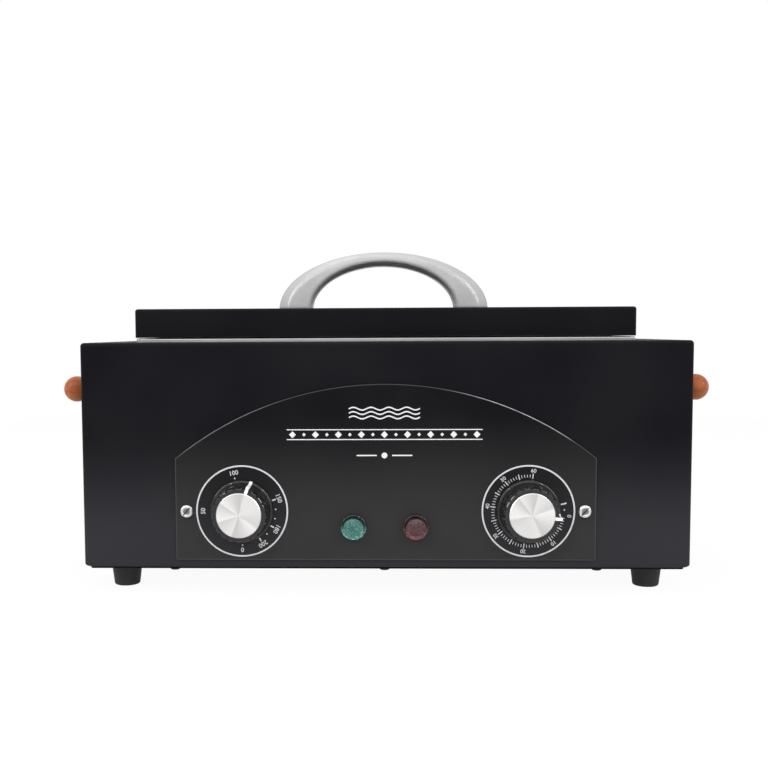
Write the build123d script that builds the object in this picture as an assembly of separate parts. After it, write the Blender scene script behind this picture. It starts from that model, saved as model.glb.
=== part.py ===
from build123d import *
import math
import os

# Dry heat sterilizer: a folded steel case on rubber feet, a heated stainless chamber with a
# perforated tray, and an inset hinged lid with a bow handle. Millimetres, +Z up, front to -Y,
# origin on the floor under the middle of the whole object.

# Case
CASE_WIDTH = 335.0
CASE_DEPTH = 180.0
CASE_HEIGHT = 124.7
CASE_SHEET = 1.0
CASE_CORNER_RADIUS = 2.6
CASE_BEND_RADIUS = 2.0
RETURN_FLANGE = 15.0
CORNER_RELIEF = 2.8
LEDGE_WIDTH = 25.2

# Bottom plate and feet
BOTTOM_PLATE_THICKNESS = 1.2
BOTTOM_PLATE_INSET = 2.8
BOTTOM_SCREW_INSET = 9.0
BOTTOM_SCREW_END_INSET = 49.5
FOOT_HEIGHT = 13.2
FOOT_TOP_RADIUS = 8.8
FOOT_BASE_RADIUS = 7.2
FOOT_BASE_ROUND = 1.2
FOOT_SIDE_INSET = 18.9
FOOT_END_INSET = 22.6
FOOT_RECESS_RADIUS = 4.4
FOOT_WEB = 5.0

# Lid
LID_HEIGHT = 16.4
LID_SHEET = 1.0
LID_CORNER_RADIUS = 2.5
LID_EDGE_RADIUS = 1.5
LID_GAP = 0.3
LID_SEAL_WIDTH = 5.0
LID_SEAL_THICKNESS = 0.8
LID_PANEL_SHEET = 0.8
LID_PANEL_FLANGE = 6.0
LID_INSULATION_THICKNESS = 9.0

# Chamber
LINER_SHEET = 0.8
LINER_RIM_WIDTH = 12.0
LINER_RIM_HEIGHT = 2.2
LINER_RIM_INSET = 0.5
LINER_CORNER_RADIUS = 14.0
LINER_FLOOR_RADIUS = 5.0
LINER_OPENING_GAP = 2.0
INSULATION_WALL = 9.0
INSULATION_FLOOR = 6.0
SHIELD_SHEET = 0.8
SHIELD_FLANGE = 8.0
SHIELD_HOLE_CLEARANCE = 1.0
CONTROLS_HEADROOM = 2.9
SPREADER_THICKNESS = 2.0
SPREADER_MARGIN = 12.0
ELEMENT_RADIUS = 3.25
ELEMENT_SIDE_MARGIN = 24.8
ELEMENT_END_MARGIN = 34.3
ELEMENT_TAIL = 6.0
CLAMP_THICKNESS = 1.2
CLAMP_WIDTH = 12.0
CLAMP_END_MARGIN = 38.0
CLAMP_MARGIN = 4.0

# Instrument tray
TRAY_CLEARANCE = 3.5
TRAY_TOP_CLEARANCE = 18.0
TRAY_SHEET = 0.8
TRAY_CORNER_RADIUS = 12.0
TRAY_FLOOR_RADIUS = 4.0
TRAY_RIM = 2.0
TRAY_HOLE_RADIUS = 2.5
TRAY_HOLE_PITCH = 17.0
TRAY_HOLE_MARGIN = 15.0
TRAY_LOOP_WIRE_RADIUS = 1.5
TRAY_LOOP_INSET = 24.3
TRAY_LOOP_RISE = 13.0
TRAY_LOOP_LEG = 14.0
TRAY_LOOP_BEND = 6.0

# Bow handle
HANDLE_HALF_SPAN = 64.5
HANDLE_RISE = 35.3
HANDLE_LEG_WIDTH = 20.4
HANDLE_CROWN = 8.3
HANDLE_DEPTH = 24.0
HANDLE_BEVEL_DEPTH = 6.0
HANDLE_OUTER_BEVEL_LEG = 6.4
HANDLE_OUTER_BEVEL_CROWN = 3.0
HANDLE_INNER_BEVEL_LEG = 0.8
HANDLE_INNER_BEVEL_CROWN = 2.4
HANDLE_SCREW_RADIUS = 2.4
HANDLE_SCREW_HEAD_RADIUS = 4.3
HANDLE_SCREW_HEAD_HEIGHT = 2.4
HANDLE_SCREW_REACH = 12.0
HANDLE_SCREW_SPARE = 1.0

# Hinges
HINGE_END_INSET = 50.3
HINGE_WIDTH = 36.0
HINGE_KNUCKLE_RADIUS = 2.5
HINGE_PIN_RADIUS = 1.2
HINGE_LEAF_THICKNESS = 1.0
HINGE_LEAF_LENGTH = 13.0
HINGE_LEAF_CORNER = 2.0
HINGE_SCREW_SPACING = 22.0
HINGE_GAP = 0.4

# Side lifting balls
BALL_RADIUS = 8.1
BALL_STAND_OFF = 26.8
BALL_DROP = 29.9
BALL_SOCKET_DEPTH = 9.0
STEM_RADIUS = 3.0
STEM_COLLAR_RADIUS = 5.0
STEM_COLLAR_LENGTH = 3.0
STEM_COLLAR_CHAMFER = 0.6
STEM_TAIL = 8.0
STEM_NUT_ACROSS_FLATS = 10.0
STEM_NUT_THICKNESS = 4.0

# Control plate
PLATE_SIDE_INSET = 52.0
PLATE_THICKNESS = 1.0
PLATE_FOOT_GAP = 4.4
PLATE_SIDE_HEIGHT = 56.5
PLATE_MIDDLE_HEIGHT = 97.4
PLATE_FOOT_RADIUS = 1.5
PLATE_SCREW_EDGE = 6.3
DIAL_EDGE = 36.9
DIAL_RISE = 31.7
LAMP_SPACING = 34.2
LAMP_RISE = 22.9

# Dial knobs
KNOB_SKIRT_RADIUS = 17.4
KNOB_SKIRT_THICKNESS = 2.0
KNOB_SKIRT_ROUND = 1.2
KNOB_BODY_RADIUS = 15.4
KNOB_TOP_RADIUS = 14.6
KNOB_TOP_CHAMFER = 0.5
KNOB_FLARE = 2.0
KNOB_HEIGHT = 15.0
KNOB_GAP = 0.7
KNOB_FLUTES = 20
KNOB_FLUTE_RADIUS = 1.1
KNOB_FLUTE_DEPTH = 0.6
KNOB_RECESS_RADIUS = 9.5
KNOB_RECESS_DEPTH = 6.0
KNOB_POINTER_WIDTH = 1.5
KNOB_POINTER_RISE = 0.8
CAP_RADIUS = 12.2
CAP_THICKNESS = 1.2
CAP_PROUD = 0.4
CAP_CHAMFER = 0.3
TEMPERATURE_REST_ANGLE = 18.0
TIMER_REST_ANGLE = 97.0

# Dial shafts and what they turn
SHAFT_RADIUS = 3.0
SHAFT_FLAT_DEPTH = 1.0
SHAFT_INSET = 2.5
BUSH_RADIUS = 4.5
BUSH_PROUD = 5.0
BUSH_BACK = 16.0
DIAL_NUT_ACROSS_FLATS = 14.0
DIAL_NUT_THICKNESS = 2.5
THERMOSTAT_WIDTH = 38.0
THERMOSTAT_HEIGHT = 30.0
THERMOSTAT_DEPTH = 24.0
THERMOSTAT_CORNER = 2.0
THERMOSTAT_DRUM_RADIUS = 12.0
THERMOSTAT_DRUM_DEPTH = 9.0
TIMER_RADIUS = 18.5
TIMER_DEPTH = 26.0
TIMER_BASE = 42.0
TIMER_BASE_THICKNESS = 2.0
BULB_RADIUS = 2.6
BULB_LENGTH = 60.0
BULB_GAP = 1.2
CAPILLARY_RADIUS = 0.8
CAPILLARY_BEND = 5.0
CUTOUT_RADIUS = 8.0
CUTOUT_HEIGHT = 7.0
CUTOUT_STRAP_LENGTH = 25.6
CUTOUT_STRAP_WIDTH = 6.0
CUTOUT_STRAP_THICKNESS = 1.0

# Pilot lamps
LAMP_FLANGE_RADIUS = 7.1
LAMP_FLANGE_THICKNESS = 1.6
LAMP_FLANGE_ROUND = 0.6
LAMP_LENS_RADIUS = 6.4
LAMP_FACE_RADIUS = 5.7
LAMP_LENS_HEIGHT = 7.4
LAMP_DOME_RISE = 0.8
LAMP_DOME_EDGE = 0.2
LAMP_FACETS = 16
LAMP_BARREL_RADIUS = 5.0
LAMP_BARREL_LENGTH = 22.0
LAMP_TAB_SPACING = 4.4
LAMP_TAB_WIDTH = 3.2
LAMP_TAB_THICKNESS = 0.8
LAMP_TAB_LENGTH = 7.0
LAMP_NUT_RADIUS = 7.5
LAMP_NUT_THICKNESS = 3.0

# Appliance inlet
INLET_SIDE_INSET = 55.5
INLET_RISE = 29.6
INLET_FLANGE_WIDTH = 48.0
INLET_FLANGE_HEIGHT = 24.0
INLET_FLANGE_THICKNESS = 2.5
INLET_FLANGE_CORNER = 4.0
INLET_BODY_WIDTH = 28.0
INLET_BODY_HEIGHT = 20.0
INLET_BODY_DEPTH = 20.0
INLET_WALL = 1.8
INLET_CHAMFER = 5.0
INLET_PIN_WIDTH = 2.0
INLET_PIN_HEIGHT = 4.0
INLET_PIN_SPACING = 14.0
INLET_PIN_OFFSET = 2.0
INLET_PIN_SETBACK = 2.5
INLET_TAB_LENGTH = 8.0
INLET_SCREW_SPACING = 40.0

# Terminal block
TERMINAL_LENGTH = 44.0
TERMINAL_DEPTH = 20.0
TERMINAL_HEIGHT = 16.0
TERMINAL_WAYS = 4
TERMINAL_PORT_RADIUS = 2.2

# Vents
VENT_LENGTH = 24.0
VENT_WIDTH = 3.0
VENT_PITCH = 9.0
REAR_VENTS = 10
BOTTOM_VENTS = 14
BOTTOM_VENT_INSET = 56.0

# Fits and small screws
FIT = 0.05
PRESS = 0.02
SCREW_CLEARANCE = 0.1
SOFT_CLEARANCE = 0.2
SCREW_RADIUS = 1.5
SCREW_HEAD_RADIUS = 3.0
SCREW_HEAD_HEIGHT = 1.8
SCREW_HEAD_ROUNDING = 0.6
SCREW_LENGTH = 6.0
THREAD_PROUD = 1.0
SCREW_SLOT_WIDTH = 0.8
SCREW_SLOT_DEPTH = 0.7
PLATE_SCREW_HEAD_RADIUS = 3.6
PLATE_SCREW_HEAD_HEIGHT = 2.0
PLATE_SCREW_TURN = 40.0
NUT_ACROSS_FLATS = 5.5
NUT_THICKNESS = 2.4
CUT_MARGIN = 1.0

# Places worked out from the sizes above
KNOB_REACH = PLATE_THICKNESS + KNOB_GAP + KNOB_HEIGHT + CAP_PROUD
OVERALL_DEPTH = KNOB_REACH + CASE_DEPTH + INLET_FLANGE_THICKNESS
FRONT_Y = KNOB_REACH - OVERALL_DEPTH / 2
REAR_Y = FRONT_Y + CASE_DEPTH
MID_Y = (FRONT_Y + REAR_Y) / 2
PLATE_FRONT_Y = FRONT_Y - PLATE_THICKNESS
FRONT_INSIDE_Y = FRONT_Y + CASE_SHEET
CASE_BOTTOM = FOOT_HEIGHT + BOTTOM_PLATE_THICKNESS
CASE_TOP = CASE_BOTTOM + CASE_HEIGHT
PLATE_WIDTH = CASE_WIDTH - 2 * PLATE_SIDE_INSET
PLATE_SCREW_X = PLATE_WIDTH / 2 - PLATE_SCREW_EDGE
DIAL_X = PLATE_WIDTH / 2 - DIAL_EDGE
DIAL_HEIGHT = CASE_BOTTOM + DIAL_RISE
LAMP_X = LAMP_SPACING / 2
LAMP_HEIGHT = CASE_BOTTOM + LAMP_RISE
INLET_X = CASE_WIDTH / 2 - INLET_SIDE_INSET
INLET_HEIGHT = CASE_BOTTOM + INLET_RISE
BALL_HEIGHT = CASE_TOP - BALL_DROP
LID_LENGTH = CASE_WIDTH - 2 * LEDGE_WIDTH
LID_DEPTH = CASE_DEPTH - 2 * LEDGE_WIDTH
LID_REAR_Y = REAR_Y - LEDGE_WIDTH
RIM_TOP = CASE_TOP + LINER_RIM_HEIGHT
LID_BOTTOM = RIM_TOP + LID_GAP
LID_TOP = LID_BOTTOM + LID_HEIGHT
PAN_LENGTH = LID_LENGTH - 2 * LINER_RIM_WIDTH
PAN_DEPTH = LID_DEPTH - 2 * LINER_RIM_WIDTH
PAN_OUTER_LENGTH = PAN_LENGTH + 2 * LINER_SHEET
PAN_OUTER_DEPTH = PAN_DEPTH + 2 * LINER_SHEET
PAN_OUTER_CORNER = LINER_CORNER_RADIUS + LINER_SHEET
SHIELD_BASE = DIAL_HEIGHT + TIMER_RADIUS + CONTROLS_HEADROOM
SHIELD_FLOOR_TOP = SHIELD_BASE + SHIELD_SHEET
INSULATION_BASE = SHIELD_FLOOR_TOP + SOFT_CLEARANCE
INSULATION_FLOOR_TOP = INSULATION_BASE + INSULATION_FLOOR
INSULATION_TOP = CASE_TOP - CASE_SHEET - SOFT_CLEARANCE
CLAMP_BASE = INSULATION_FLOOR_TOP + SOFT_CLEARANCE
CLAMP_TOP = CLAMP_BASE + CLAMP_THICKNESS
ELEMENT_Z = CLAMP_TOP + FIT + ELEMENT_RADIUS
SPREADER_BASE = ELEMENT_Z + ELEMENT_RADIUS + FIT
PAN_BASE = SPREADER_BASE + SPREADER_THICKNESS
PAN_FLOOR = PAN_BASE + LINER_SHEET
ELEMENT_PITCH = PAN_DEPTH / 2 - ELEMENT_SIDE_MARGIN
ELEMENT_HALF_LENGTH = PAN_LENGTH / 2 - ELEMENT_END_MARGIN
CLAMP_X = ELEMENT_HALF_LENGTH - CLAMP_END_MARGIN
HINGE_X = LID_LENGTH / 2 - HINGE_END_INSET
HINGE_AXIS_Y = LID_REAR_Y + HINGE_KNUCKLE_RADIUS + HINGE_GAP
HINGE_AXIS_Z = CASE_TOP + HINGE_KNUCKLE_RADIUS
HINGE_SCREW_REACH = (HINGE_KNUCKLE_RADIUS + HINGE_GAP + HINGE_LEAF_LENGTH) / 2
TRAY_LENGTH = PAN_LENGTH - 2 * TRAY_CLEARANCE
TRAY_DEPTH = PAN_DEPTH - 2 * TRAY_CLEARANCE
TRAY_TOP = RIM_TOP - TRAY_TOP_CLEARANCE
TRAY_LOOP_WIDTH = TRAY_DEPTH - 2 * TRAY_LOOP_INSET
DIALS = {"temperature": -DIAL_X, "timer": DIAL_X}
LAMPS = {"green": -LAMP_X, "red": LAMP_X}
SIDES = {"left": -1, "right": 1}


def rounded_block(length, depth, corner, low, high, y=MID_Y):
    """An upright block with rounded vertical corners, between two heights."""
    return Pos(0, y, low) * extrude(RectangleRounded(length, depth, corner), high - low)


def edges_at_height(solid, height):
    """All edges of a solid that lie flat at one height."""
    return solid.edges().filter_by_position(Axis.Z, height, height)


def bar_x(radius, low, high, y, z):
    """A round bar along X between two places."""
    return Pos((low + high) / 2, y, z) * Rot(0, 90, 0) * Cylinder(radius, high - low)


def bar_y(radius, low, high, x, z):
    """A round bar along Y between two places."""
    return Pos(x, (low + high) / 2, z) * Rot(90, 0, 0) * Cylinder(radius, high - low)


def bar_z(radius, low, high, x, y):
    """A round bar along Z between two heights."""
    return Pos(x, y, (low + high) / 2) * Cylinder(radius, high - low)


def block(x_low, x_high, y_low, y_high, z_low, z_high):
    """A plain block between two corners."""
    centre = Pos((x_low + x_high) / 2, (y_low + y_high) / 2, (z_low + z_high) / 2)
    return centre * Box(x_high - x_low, y_high - y_low, z_high - z_low)


def hexagon(across_flats, thickness):
    """A hexagonal prism standing on the origin."""
    return extrude(RegularPolygon(across_flats / 2, 6, major_radius=False), thickness)


def facing_front(x, y, z):
    """A drawing plane that stands upright and faces the front, with X to the right."""
    return Plane(origin=(x, y, z), x_dir=(1, 0, 0), z_dir=(0, -1, 0))


def slotted_screw(radius, length, head_radius, head_height):
    """A round-headed slotted screw: the head stands up from the origin, the shank hangs down."""
    head = Pos(0, 0, head_height / 2) * Cylinder(head_radius, head_height)
    head = fillet(edges_at_height(head, head_height), head_height * SCREW_HEAD_ROUNDING)
    shank = Pos(0, 0, -length / 2) * Cylinder(radius, length)
    slot = Pos(0, 0, head_height) * Box(3 * head_radius, SCREW_SLOT_WIDTH, 2 * SCREW_SLOT_DEPTH)
    return head + shank - slot


def countersunk_screw(radius, length, thickness):
    """A countersunk screw flush with the origin, its cone as deep as the sheet that it holds."""
    cone = Pos(0, 0, -thickness / 2) * Cone(radius, radius + thickness, thickness)
    shank = Pos(0, 0, -length / 2) * Cylinder(radius, length)
    return cone + shank


def countersink(radius, thickness):
    """The hole for a countersunk screw, with its clearance, downwards from the origin."""
    wide = radius + SCREW_CLEARANCE
    cone = Pos(0, 0, -thickness / 2) * Cone(wide, wide + thickness, thickness)
    return cone + Cylinder(wide, 4 * thickness)


def slot_cut(length, width, depth):
    """A cutter for a round-ended slot, long in X, through a sheet in the XY plane."""
    return extrude(SlotOverall(length, width), depth, both=True)


def bottom_screw_places():
    """Where the bottom plate's screws go: three along each long side and one at each end."""
    half_x = CASE_WIDTH / 2 - BOTTOM_SCREW_INSET
    half_y = CASE_DEPTH / 2 - BOTTOM_SCREW_INSET
    end_x = CASE_WIDTH / 2 - BOTTOM_SCREW_END_INSET
    long_sides = [(x, y) for x in (-end_x, 0, end_x) for y in (-half_y, half_y)]
    return [(x, MID_Y + y) for x, y in long_sides + [(-half_x, 0), (half_x, 0)]]


def foot_places():
    """The four feet by name."""
    x = CASE_WIDTH / 2 - FOOT_SIDE_INSET
    front = FRONT_Y + FOOT_END_INSET
    rear = REAR_Y - FOOT_END_INSET
    return {
        "front_left": (-x, front),
        "front_right": (x, front),
        "rear_left": (-x, rear),
        "rear_right": (x, rear),
    }


def hinge_screw_places(side):
    """The two screws across one hinge."""
    return [side * HINGE_X + shift for shift in (-HINGE_SCREW_SPACING / 2, HINGE_SCREW_SPACING / 2)]


def inlet_screw_places():
    """The two screws beside the inlet."""
    return (INLET_X - INLET_SCREW_SPACING / 2, INLET_X + INLET_SCREW_SPACING / 2)


def element_exits():
    """Where the two cold ends of the heating element leave the chamber, left and right."""
    return (-ELEMENT_HALF_LENGTH, ELEMENT_HALF_LENGTH)


def make_outer_case():
    """One folded and welded sheet shell: walls, top ledge and bottom return flanges."""
    outer = rounded_block(CASE_WIDTH, CASE_DEPTH, CASE_CORNER_RADIUS, CASE_BOTTOM, CASE_TOP)
    ends = edges_at_height(outer, CASE_TOP) + edges_at_height(outer, CASE_BOTTOM)
    outer = fillet(ends, CASE_BEND_RADIUS)
    low = CASE_BOTTOM + CASE_SHEET
    high = CASE_TOP - CASE_SHEET
    inner = rounded_block(CASE_WIDTH - 2 * CASE_SHEET, CASE_DEPTH - 2 * CASE_SHEET,
                          CASE_CORNER_RADIUS - CASE_SHEET, low, high)
    ends = edges_at_height(inner, high) + edges_at_height(inner, low)
    inner = fillet(ends, CASE_BEND_RADIUS - CASE_SHEET)
    shell = outer - inner
    shell -= rounded_block(PAN_OUTER_LENGTH + 2 * LINER_OPENING_GAP, PAN_OUTER_DEPTH + 2 * LINER_OPENING_GAP,
                           PAN_OUTER_CORNER, high - CUT_MARGIN, CASE_TOP + CUT_MARGIN)
    shell -= rounded_block(CASE_WIDTH - 2 * RETURN_FLANGE, CASE_DEPTH - 2 * RETURN_FLANGE,
                           CASE_CORNER_RADIUS, CASE_BOTTOM - CUT_MARGIN, low + CUT_MARGIN)
    for x in (-CASE_WIDTH / 2, CASE_WIDTH / 2):
        for y in (FRONT_Y, REAR_Y):
            shell -= Pos(x, y, CASE_BOTTOM) * Box(2 * CORNER_RELIEF, 2 * CORNER_RELIEF, 2 * CASE_SHEET)
    for x, y in bottom_screw_places():
        shell -= bar_z(SCREW_RADIUS + SCREW_CLEARANCE, CASE_BOTTOM - CUT_MARGIN, low + CUT_MARGIN, x, y)
    cutters = front_openings(FRONT_Y, FRONT_INSIDE_Y)
    cutters.append(bar_x(STEM_RADIUS + SCREW_CLEARANCE, -CASE_WIDTH, CASE_WIDTH, MID_Y, BALL_HEIGHT))
    cutters += [bar_z(SCREW_RADIUS + SCREW_CLEARANCE, high - CUT_MARGIN, CASE_TOP + CUT_MARGIN,
                      x, HINGE_AXIS_Y + HINGE_SCREW_REACH)
                for side in SIDES.values() for x in hinge_screw_places(side)]
    wall_inside = REAR_Y - CASE_SHEET - CUT_MARGIN
    cutters.append(inlet_outline(INLET_BODY_WIDTH, INLET_BODY_HEIGHT, SCREW_CLEARANCE, wall_inside,
                                 REAR_Y + CUT_MARGIN))
    cutters += [bar_y(SCREW_RADIUS + SCREW_CLEARANCE, wall_inside, REAR_Y + CUT_MARGIN, x, INLET_HEIGHT)
                for x in inlet_screw_places()]
    for index in range(REAR_VENTS):
        x = -INLET_X + (index - (REAR_VENTS - 1) / 2) * VENT_PITCH
        cutters.append(Pos(x, REAR_Y, INLET_HEIGHT) * Rot(90, 0, 0) * Rot(0, 0, 90)
                       * slot_cut(VENT_LENGTH, VENT_WIDTH, 2 * CASE_SHEET))
    for cutter in cutters:
        shell -= cutter
    return shell


def front_openings(face_y, back_y):
    """Cutters for everything that passes through the front, between two planes."""
    low = face_y - CUT_MARGIN
    high = back_y + CUT_MARGIN
    dials = [bar_y(BUSH_RADIUS + SCREW_CLEARANCE, low, high, x, DIAL_HEIGHT) for x in DIALS.values()]
    lamps = [bar_y(LAMP_BARREL_RADIUS + SCREW_CLEARANCE, low, high, x, LAMP_HEIGHT) for x in LAMPS.values()]
    screws = [bar_y(SCREW_RADIUS + SCREW_CLEARANCE, low, high, side * PLATE_SCREW_X, DIAL_HEIGHT)
              for side in SIDES.values()]
    return dials + lamps + screws


def make_bottom_plate():
    """The flat cover under the case, with vent slots and screw holes."""
    length = CASE_WIDTH - 2 * BOTTOM_PLATE_INSET
    depth = CASE_DEPTH - 2 * BOTTOM_PLATE_INSET
    plate = rounded_block(length, depth, CASE_BEND_RADIUS, FOOT_HEIGHT, CASE_BOTTOM)
    for x, y in bottom_screw_places() + list(foot_places().values()):
        plate -= bar_z(SCREW_RADIUS + SCREW_CLEARANCE, FOOT_HEIGHT - CUT_MARGIN,
                       CASE_BOTTOM + CUT_MARGIN, x, y)
    vent = Rot(0, 0, 90) * slot_cut(VENT_LENGTH, VENT_WIDTH, 2 * BOTTOM_PLATE_THICKNESS)
    row = CASE_DEPTH / 2 - BOTTOM_VENT_INSET
    for y in (MID_Y - row, MID_Y + row):
        for index in range(BOTTOM_VENTS):
            plate -= Pos((index - (BOTTOM_VENTS - 1) / 2) * VENT_PITCH, y, FOOT_HEIGHT) * vent
    return plate


def make_bottom_plate_screws():
    """Screws from below through the bottom plate into the return flanges."""
    screw = slotted_screw(SCREW_RADIUS, SCREW_LENGTH, SCREW_HEAD_RADIUS, SCREW_HEAD_HEIGHT)
    return [Pos(x, y, FOOT_HEIGHT) * Rot(180, 0, 0) * screw for x, y in bottom_screw_places()]


def make_foot(x, y):
    """A tapered rubber foot with a recess for its screw."""
    with_taper = Cone(FOOT_BASE_RADIUS, FOOT_TOP_RADIUS, FOOT_HEIGHT)
    foot = fillet(with_taper.edges().sort_by(Axis.Z)[0], FOOT_BASE_ROUND)
    foot = Pos(0, 0, FOOT_HEIGHT / 2) * foot
    foot -= bar_z(FOOT_RECESS_RADIUS, -CUT_MARGIN, FOOT_HEIGHT - FOOT_WEB, 0, 0)
    foot -= bar_z(SCREW_RADIUS + SCREW_CLEARANCE, 0, FOOT_HEIGHT + CUT_MARGIN, 0, 0)
    return Pos(x, y, 0) * foot


def make_foot_screws():
    """One screw up through each foot and the bottom plate."""
    length = FOOT_WEB + BOTTOM_PLATE_THICKNESS + NUT_THICKNESS + THREAD_PROUD
    screw = slotted_screw(SCREW_RADIUS, length, SCREW_HEAD_RADIUS, SCREW_HEAD_HEIGHT)
    return [Pos(x, y, FOOT_HEIGHT - FOOT_WEB) * Rot(180, 0, 0) * screw for x, y in foot_places().values()]


def plain_nut(across_flats, thickness, bore):
    """A hexagonal nut standing on the origin."""
    return hexagon(across_flats, thickness) - Cylinder(bore, 4 * thickness)


def make_foot_nuts():
    """Nuts on the foot screws, inside on the bottom plate."""
    nut = plain_nut(NUT_ACROSS_FLATS, NUT_THICKNESS, SCREW_RADIUS + FIT)
    return [Pos(x, y, CASE_BOTTOM) * nut for x, y in foot_places().values()]


def make_control_plate():
    """The arch-topped plate on the front that carries the dials' print, the lamps and the knobs."""
    half = PLATE_WIDTH / 2
    low = CASE_BOTTOM + PLATE_FOOT_GAP
    foot_left = (-half, low)
    foot_right = (half, low)
    shoulder_left = (-half, low + PLATE_SIDE_HEIGHT)
    shoulder_right = (half, low + PLATE_SIDE_HEIGHT)
    outline = [
        Line(foot_left, foot_right),
        Line(foot_right, shoulder_right),
        ThreePointArc(shoulder_right, (0, low + PLATE_MIDDLE_HEIGHT), shoulder_left),
        Line(shoulder_left, foot_left),
    ]
    sheet = make_face(outline)
    plate = facing_front(0, FRONT_Y, 0) * extrude(sheet, PLATE_THICKNESS)
    lower_corners = plate.edges().filter_by(Axis.Y).sort_by(Axis.Z)[:2]
    plate = fillet(lower_corners, PLATE_FOOT_RADIUS)
    for cutter in front_openings(PLATE_FRONT_Y, FRONT_Y):
        plate -= cutter
    return plate


def make_control_plate_screws():
    """The two round-headed screws at the ends of the control plate."""
    length = PLATE_THICKNESS + CASE_SHEET + NUT_THICKNESS + THREAD_PROUD
    screw = slotted_screw(SCREW_RADIUS, length, PLATE_SCREW_HEAD_RADIUS, PLATE_SCREW_HEAD_HEIGHT)
    screw = Rot(90, 0, 0) * Rot(0, 0, PLATE_SCREW_TURN) * screw
    return [Pos(side * PLATE_SCREW_X, PLATE_FRONT_Y, DIAL_HEIGHT) * screw for side in SIDES.values()]


def make_control_plate_nuts():
    """The nuts behind the control plate's screws."""
    nut = plain_nut(NUT_ACROSS_FLATS, NUT_THICKNESS, SCREW_RADIUS + FIT)
    return [Pos(side * PLATE_SCREW_X, FRONT_INSIDE_Y, DIAL_HEIGHT) * Rot(-90, 0, 0) * nut
            for side in SIDES.values()]


def make_chamber_liner():
    """The drawn stainless pan, with a flat rim whose edge is turned down onto the ledge."""
    rim = rounded_block(LID_LENGTH - 2 * LINER_RIM_INSET, LID_DEPTH - 2 * LINER_RIM_INSET,
                        LID_CORNER_RADIUS, CASE_TOP, RIM_TOP)
    rim = fillet(edges_at_height(rim, RIM_TOP), LINER_SHEET)
    rim -= rounded_block(LID_LENGTH - 2 * (LINER_RIM_INSET + LINER_SHEET),
                         LID_DEPTH - 2 * (LINER_RIM_INSET + LINER_SHEET),
                         LID_CORNER_RADIUS - LINER_SHEET, CASE_TOP - CUT_MARGIN, RIM_TOP - LINER_SHEET)
    outer = rounded_block(PAN_OUTER_LENGTH, PAN_OUTER_DEPTH, PAN_OUTER_CORNER, PAN_BASE, RIM_TOP)
    outer = fillet(edges_at_height(outer, PAN_BASE), LINER_FLOOR_RADIUS + LINER_SHEET)
    inner = rounded_block(PAN_LENGTH, PAN_DEPTH, LINER_CORNER_RADIUS, PAN_FLOOR, RIM_TOP + CUT_MARGIN)
    inner = fillet(edges_at_height(inner, PAN_FLOOR), LINER_FLOOR_RADIUS)
    return rim + outer - inner


def make_heat_spreader():
    """The aluminium plate under the chamber floor that the element heats."""
    length = PAN_LENGTH - 2 * SPREADER_MARGIN
    depth = PAN_DEPTH - 2 * SPREADER_MARGIN
    return rounded_block(length, depth, CASE_CORNER_RADIUS, SPREADER_BASE, PAN_BASE)


def make_heating_element():
    """A tubular element: a flat serpentine whose two cold ends leave through the rear."""
    left, right = element_exits()
    bend = ELEMENT_PITCH / 2
    exit_y = MID_Y + PAN_OUTER_DEPTH / 2 + SOFT_CLEARANCE + INSULATION_WALL + SHIELD_SHEET + ELEMENT_TAIL
    rows = [MID_Y - ELEMENT_PITCH, MID_Y, MID_Y + ELEMENT_PITCH]
    lead = right - bend
    path = Line((left, exit_y), (left, rows[0] + bend))
    path += CenterArc((left + bend, rows[0] + bend), bend, 180, 90)
    path += Line((left + bend, rows[0]), (lead - bend, rows[0]))
    path += CenterArc((lead - bend, rows[0] + bend), bend, -90, 180)
    path += Line((lead - bend, rows[1]), (left + 2 * ELEMENT_PITCH, rows[1]))
    path += CenterArc((left + 2 * ELEMENT_PITCH, rows[1] + bend), bend, 90, 180)
    path += Line((left + 2 * ELEMENT_PITCH, rows[2]), (right - bend, rows[2]))
    path += CenterArc((right - bend, rows[2] + bend), bend, -90, 90)
    path += Line((right, rows[2] + bend), (right, exit_y))
    start = Plane(origin=(left, exit_y, 0), z_dir=(0, -1, 0))
    return Pos(0, 0, ELEMENT_Z) * sweep(start * Circle(ELEMENT_RADIUS), path=path)


def make_element_clamps():
    """Two bars that hold the element up against the spreader."""
    half = ELEMENT_PITCH + ELEMENT_RADIUS + CLAMP_MARGIN
    clamps = []
    for x in (-CLAMP_X, CLAMP_X):
        low = x - CLAMP_WIDTH / 2
        high = x + CLAMP_WIDTH / 2
        bar = block(low, high, MID_Y - half, MID_Y + half, CLAMP_BASE, SPREADER_BASE)
        bar -= block(low, high, MID_Y - half + CLAMP_THICKNESS, MID_Y + half - CLAMP_THICKNESS,
                     CLAMP_TOP, SPREADER_BASE)
        clamps.append(bar)
    return clamps


def service_holes(radius):
    """Cutters where the element's ends and the capillary pass through the wrap of the chamber."""
    start = capillary_points()[0]
    holes = [bar_y(ELEMENT_RADIUS + radius, MID_Y, REAR_Y - CASE_SHEET, x, ELEMENT_Z)
             for x in element_exits()]
    holes.append(bar_y(CAPILLARY_RADIUS + radius, FRONT_INSIDE_Y, start[1], start[0], start[2]))
    return holes


def make_chamber_insulation():
    """The mineral wool wrapped round the pan's walls and under the element."""
    gap = 2 * SOFT_CLEARANCE
    outer_length = PAN_OUTER_LENGTH + gap + 2 * INSULATION_WALL
    outer_depth = PAN_OUTER_DEPTH + gap + 2 * INSULATION_WALL
    wool = rounded_block(outer_length, outer_depth, PAN_OUTER_CORNER, INSULATION_BASE, INSULATION_TOP)
    wool -= rounded_block(PAN_OUTER_LENGTH + gap, PAN_OUTER_DEPTH + gap, PAN_OUTER_CORNER,
                          INSULATION_FLOOR_TOP, INSULATION_TOP + CUT_MARGIN)
    for cutter in service_holes(SOFT_CLEARANCE):
        wool -= cutter
    return wool


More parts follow.
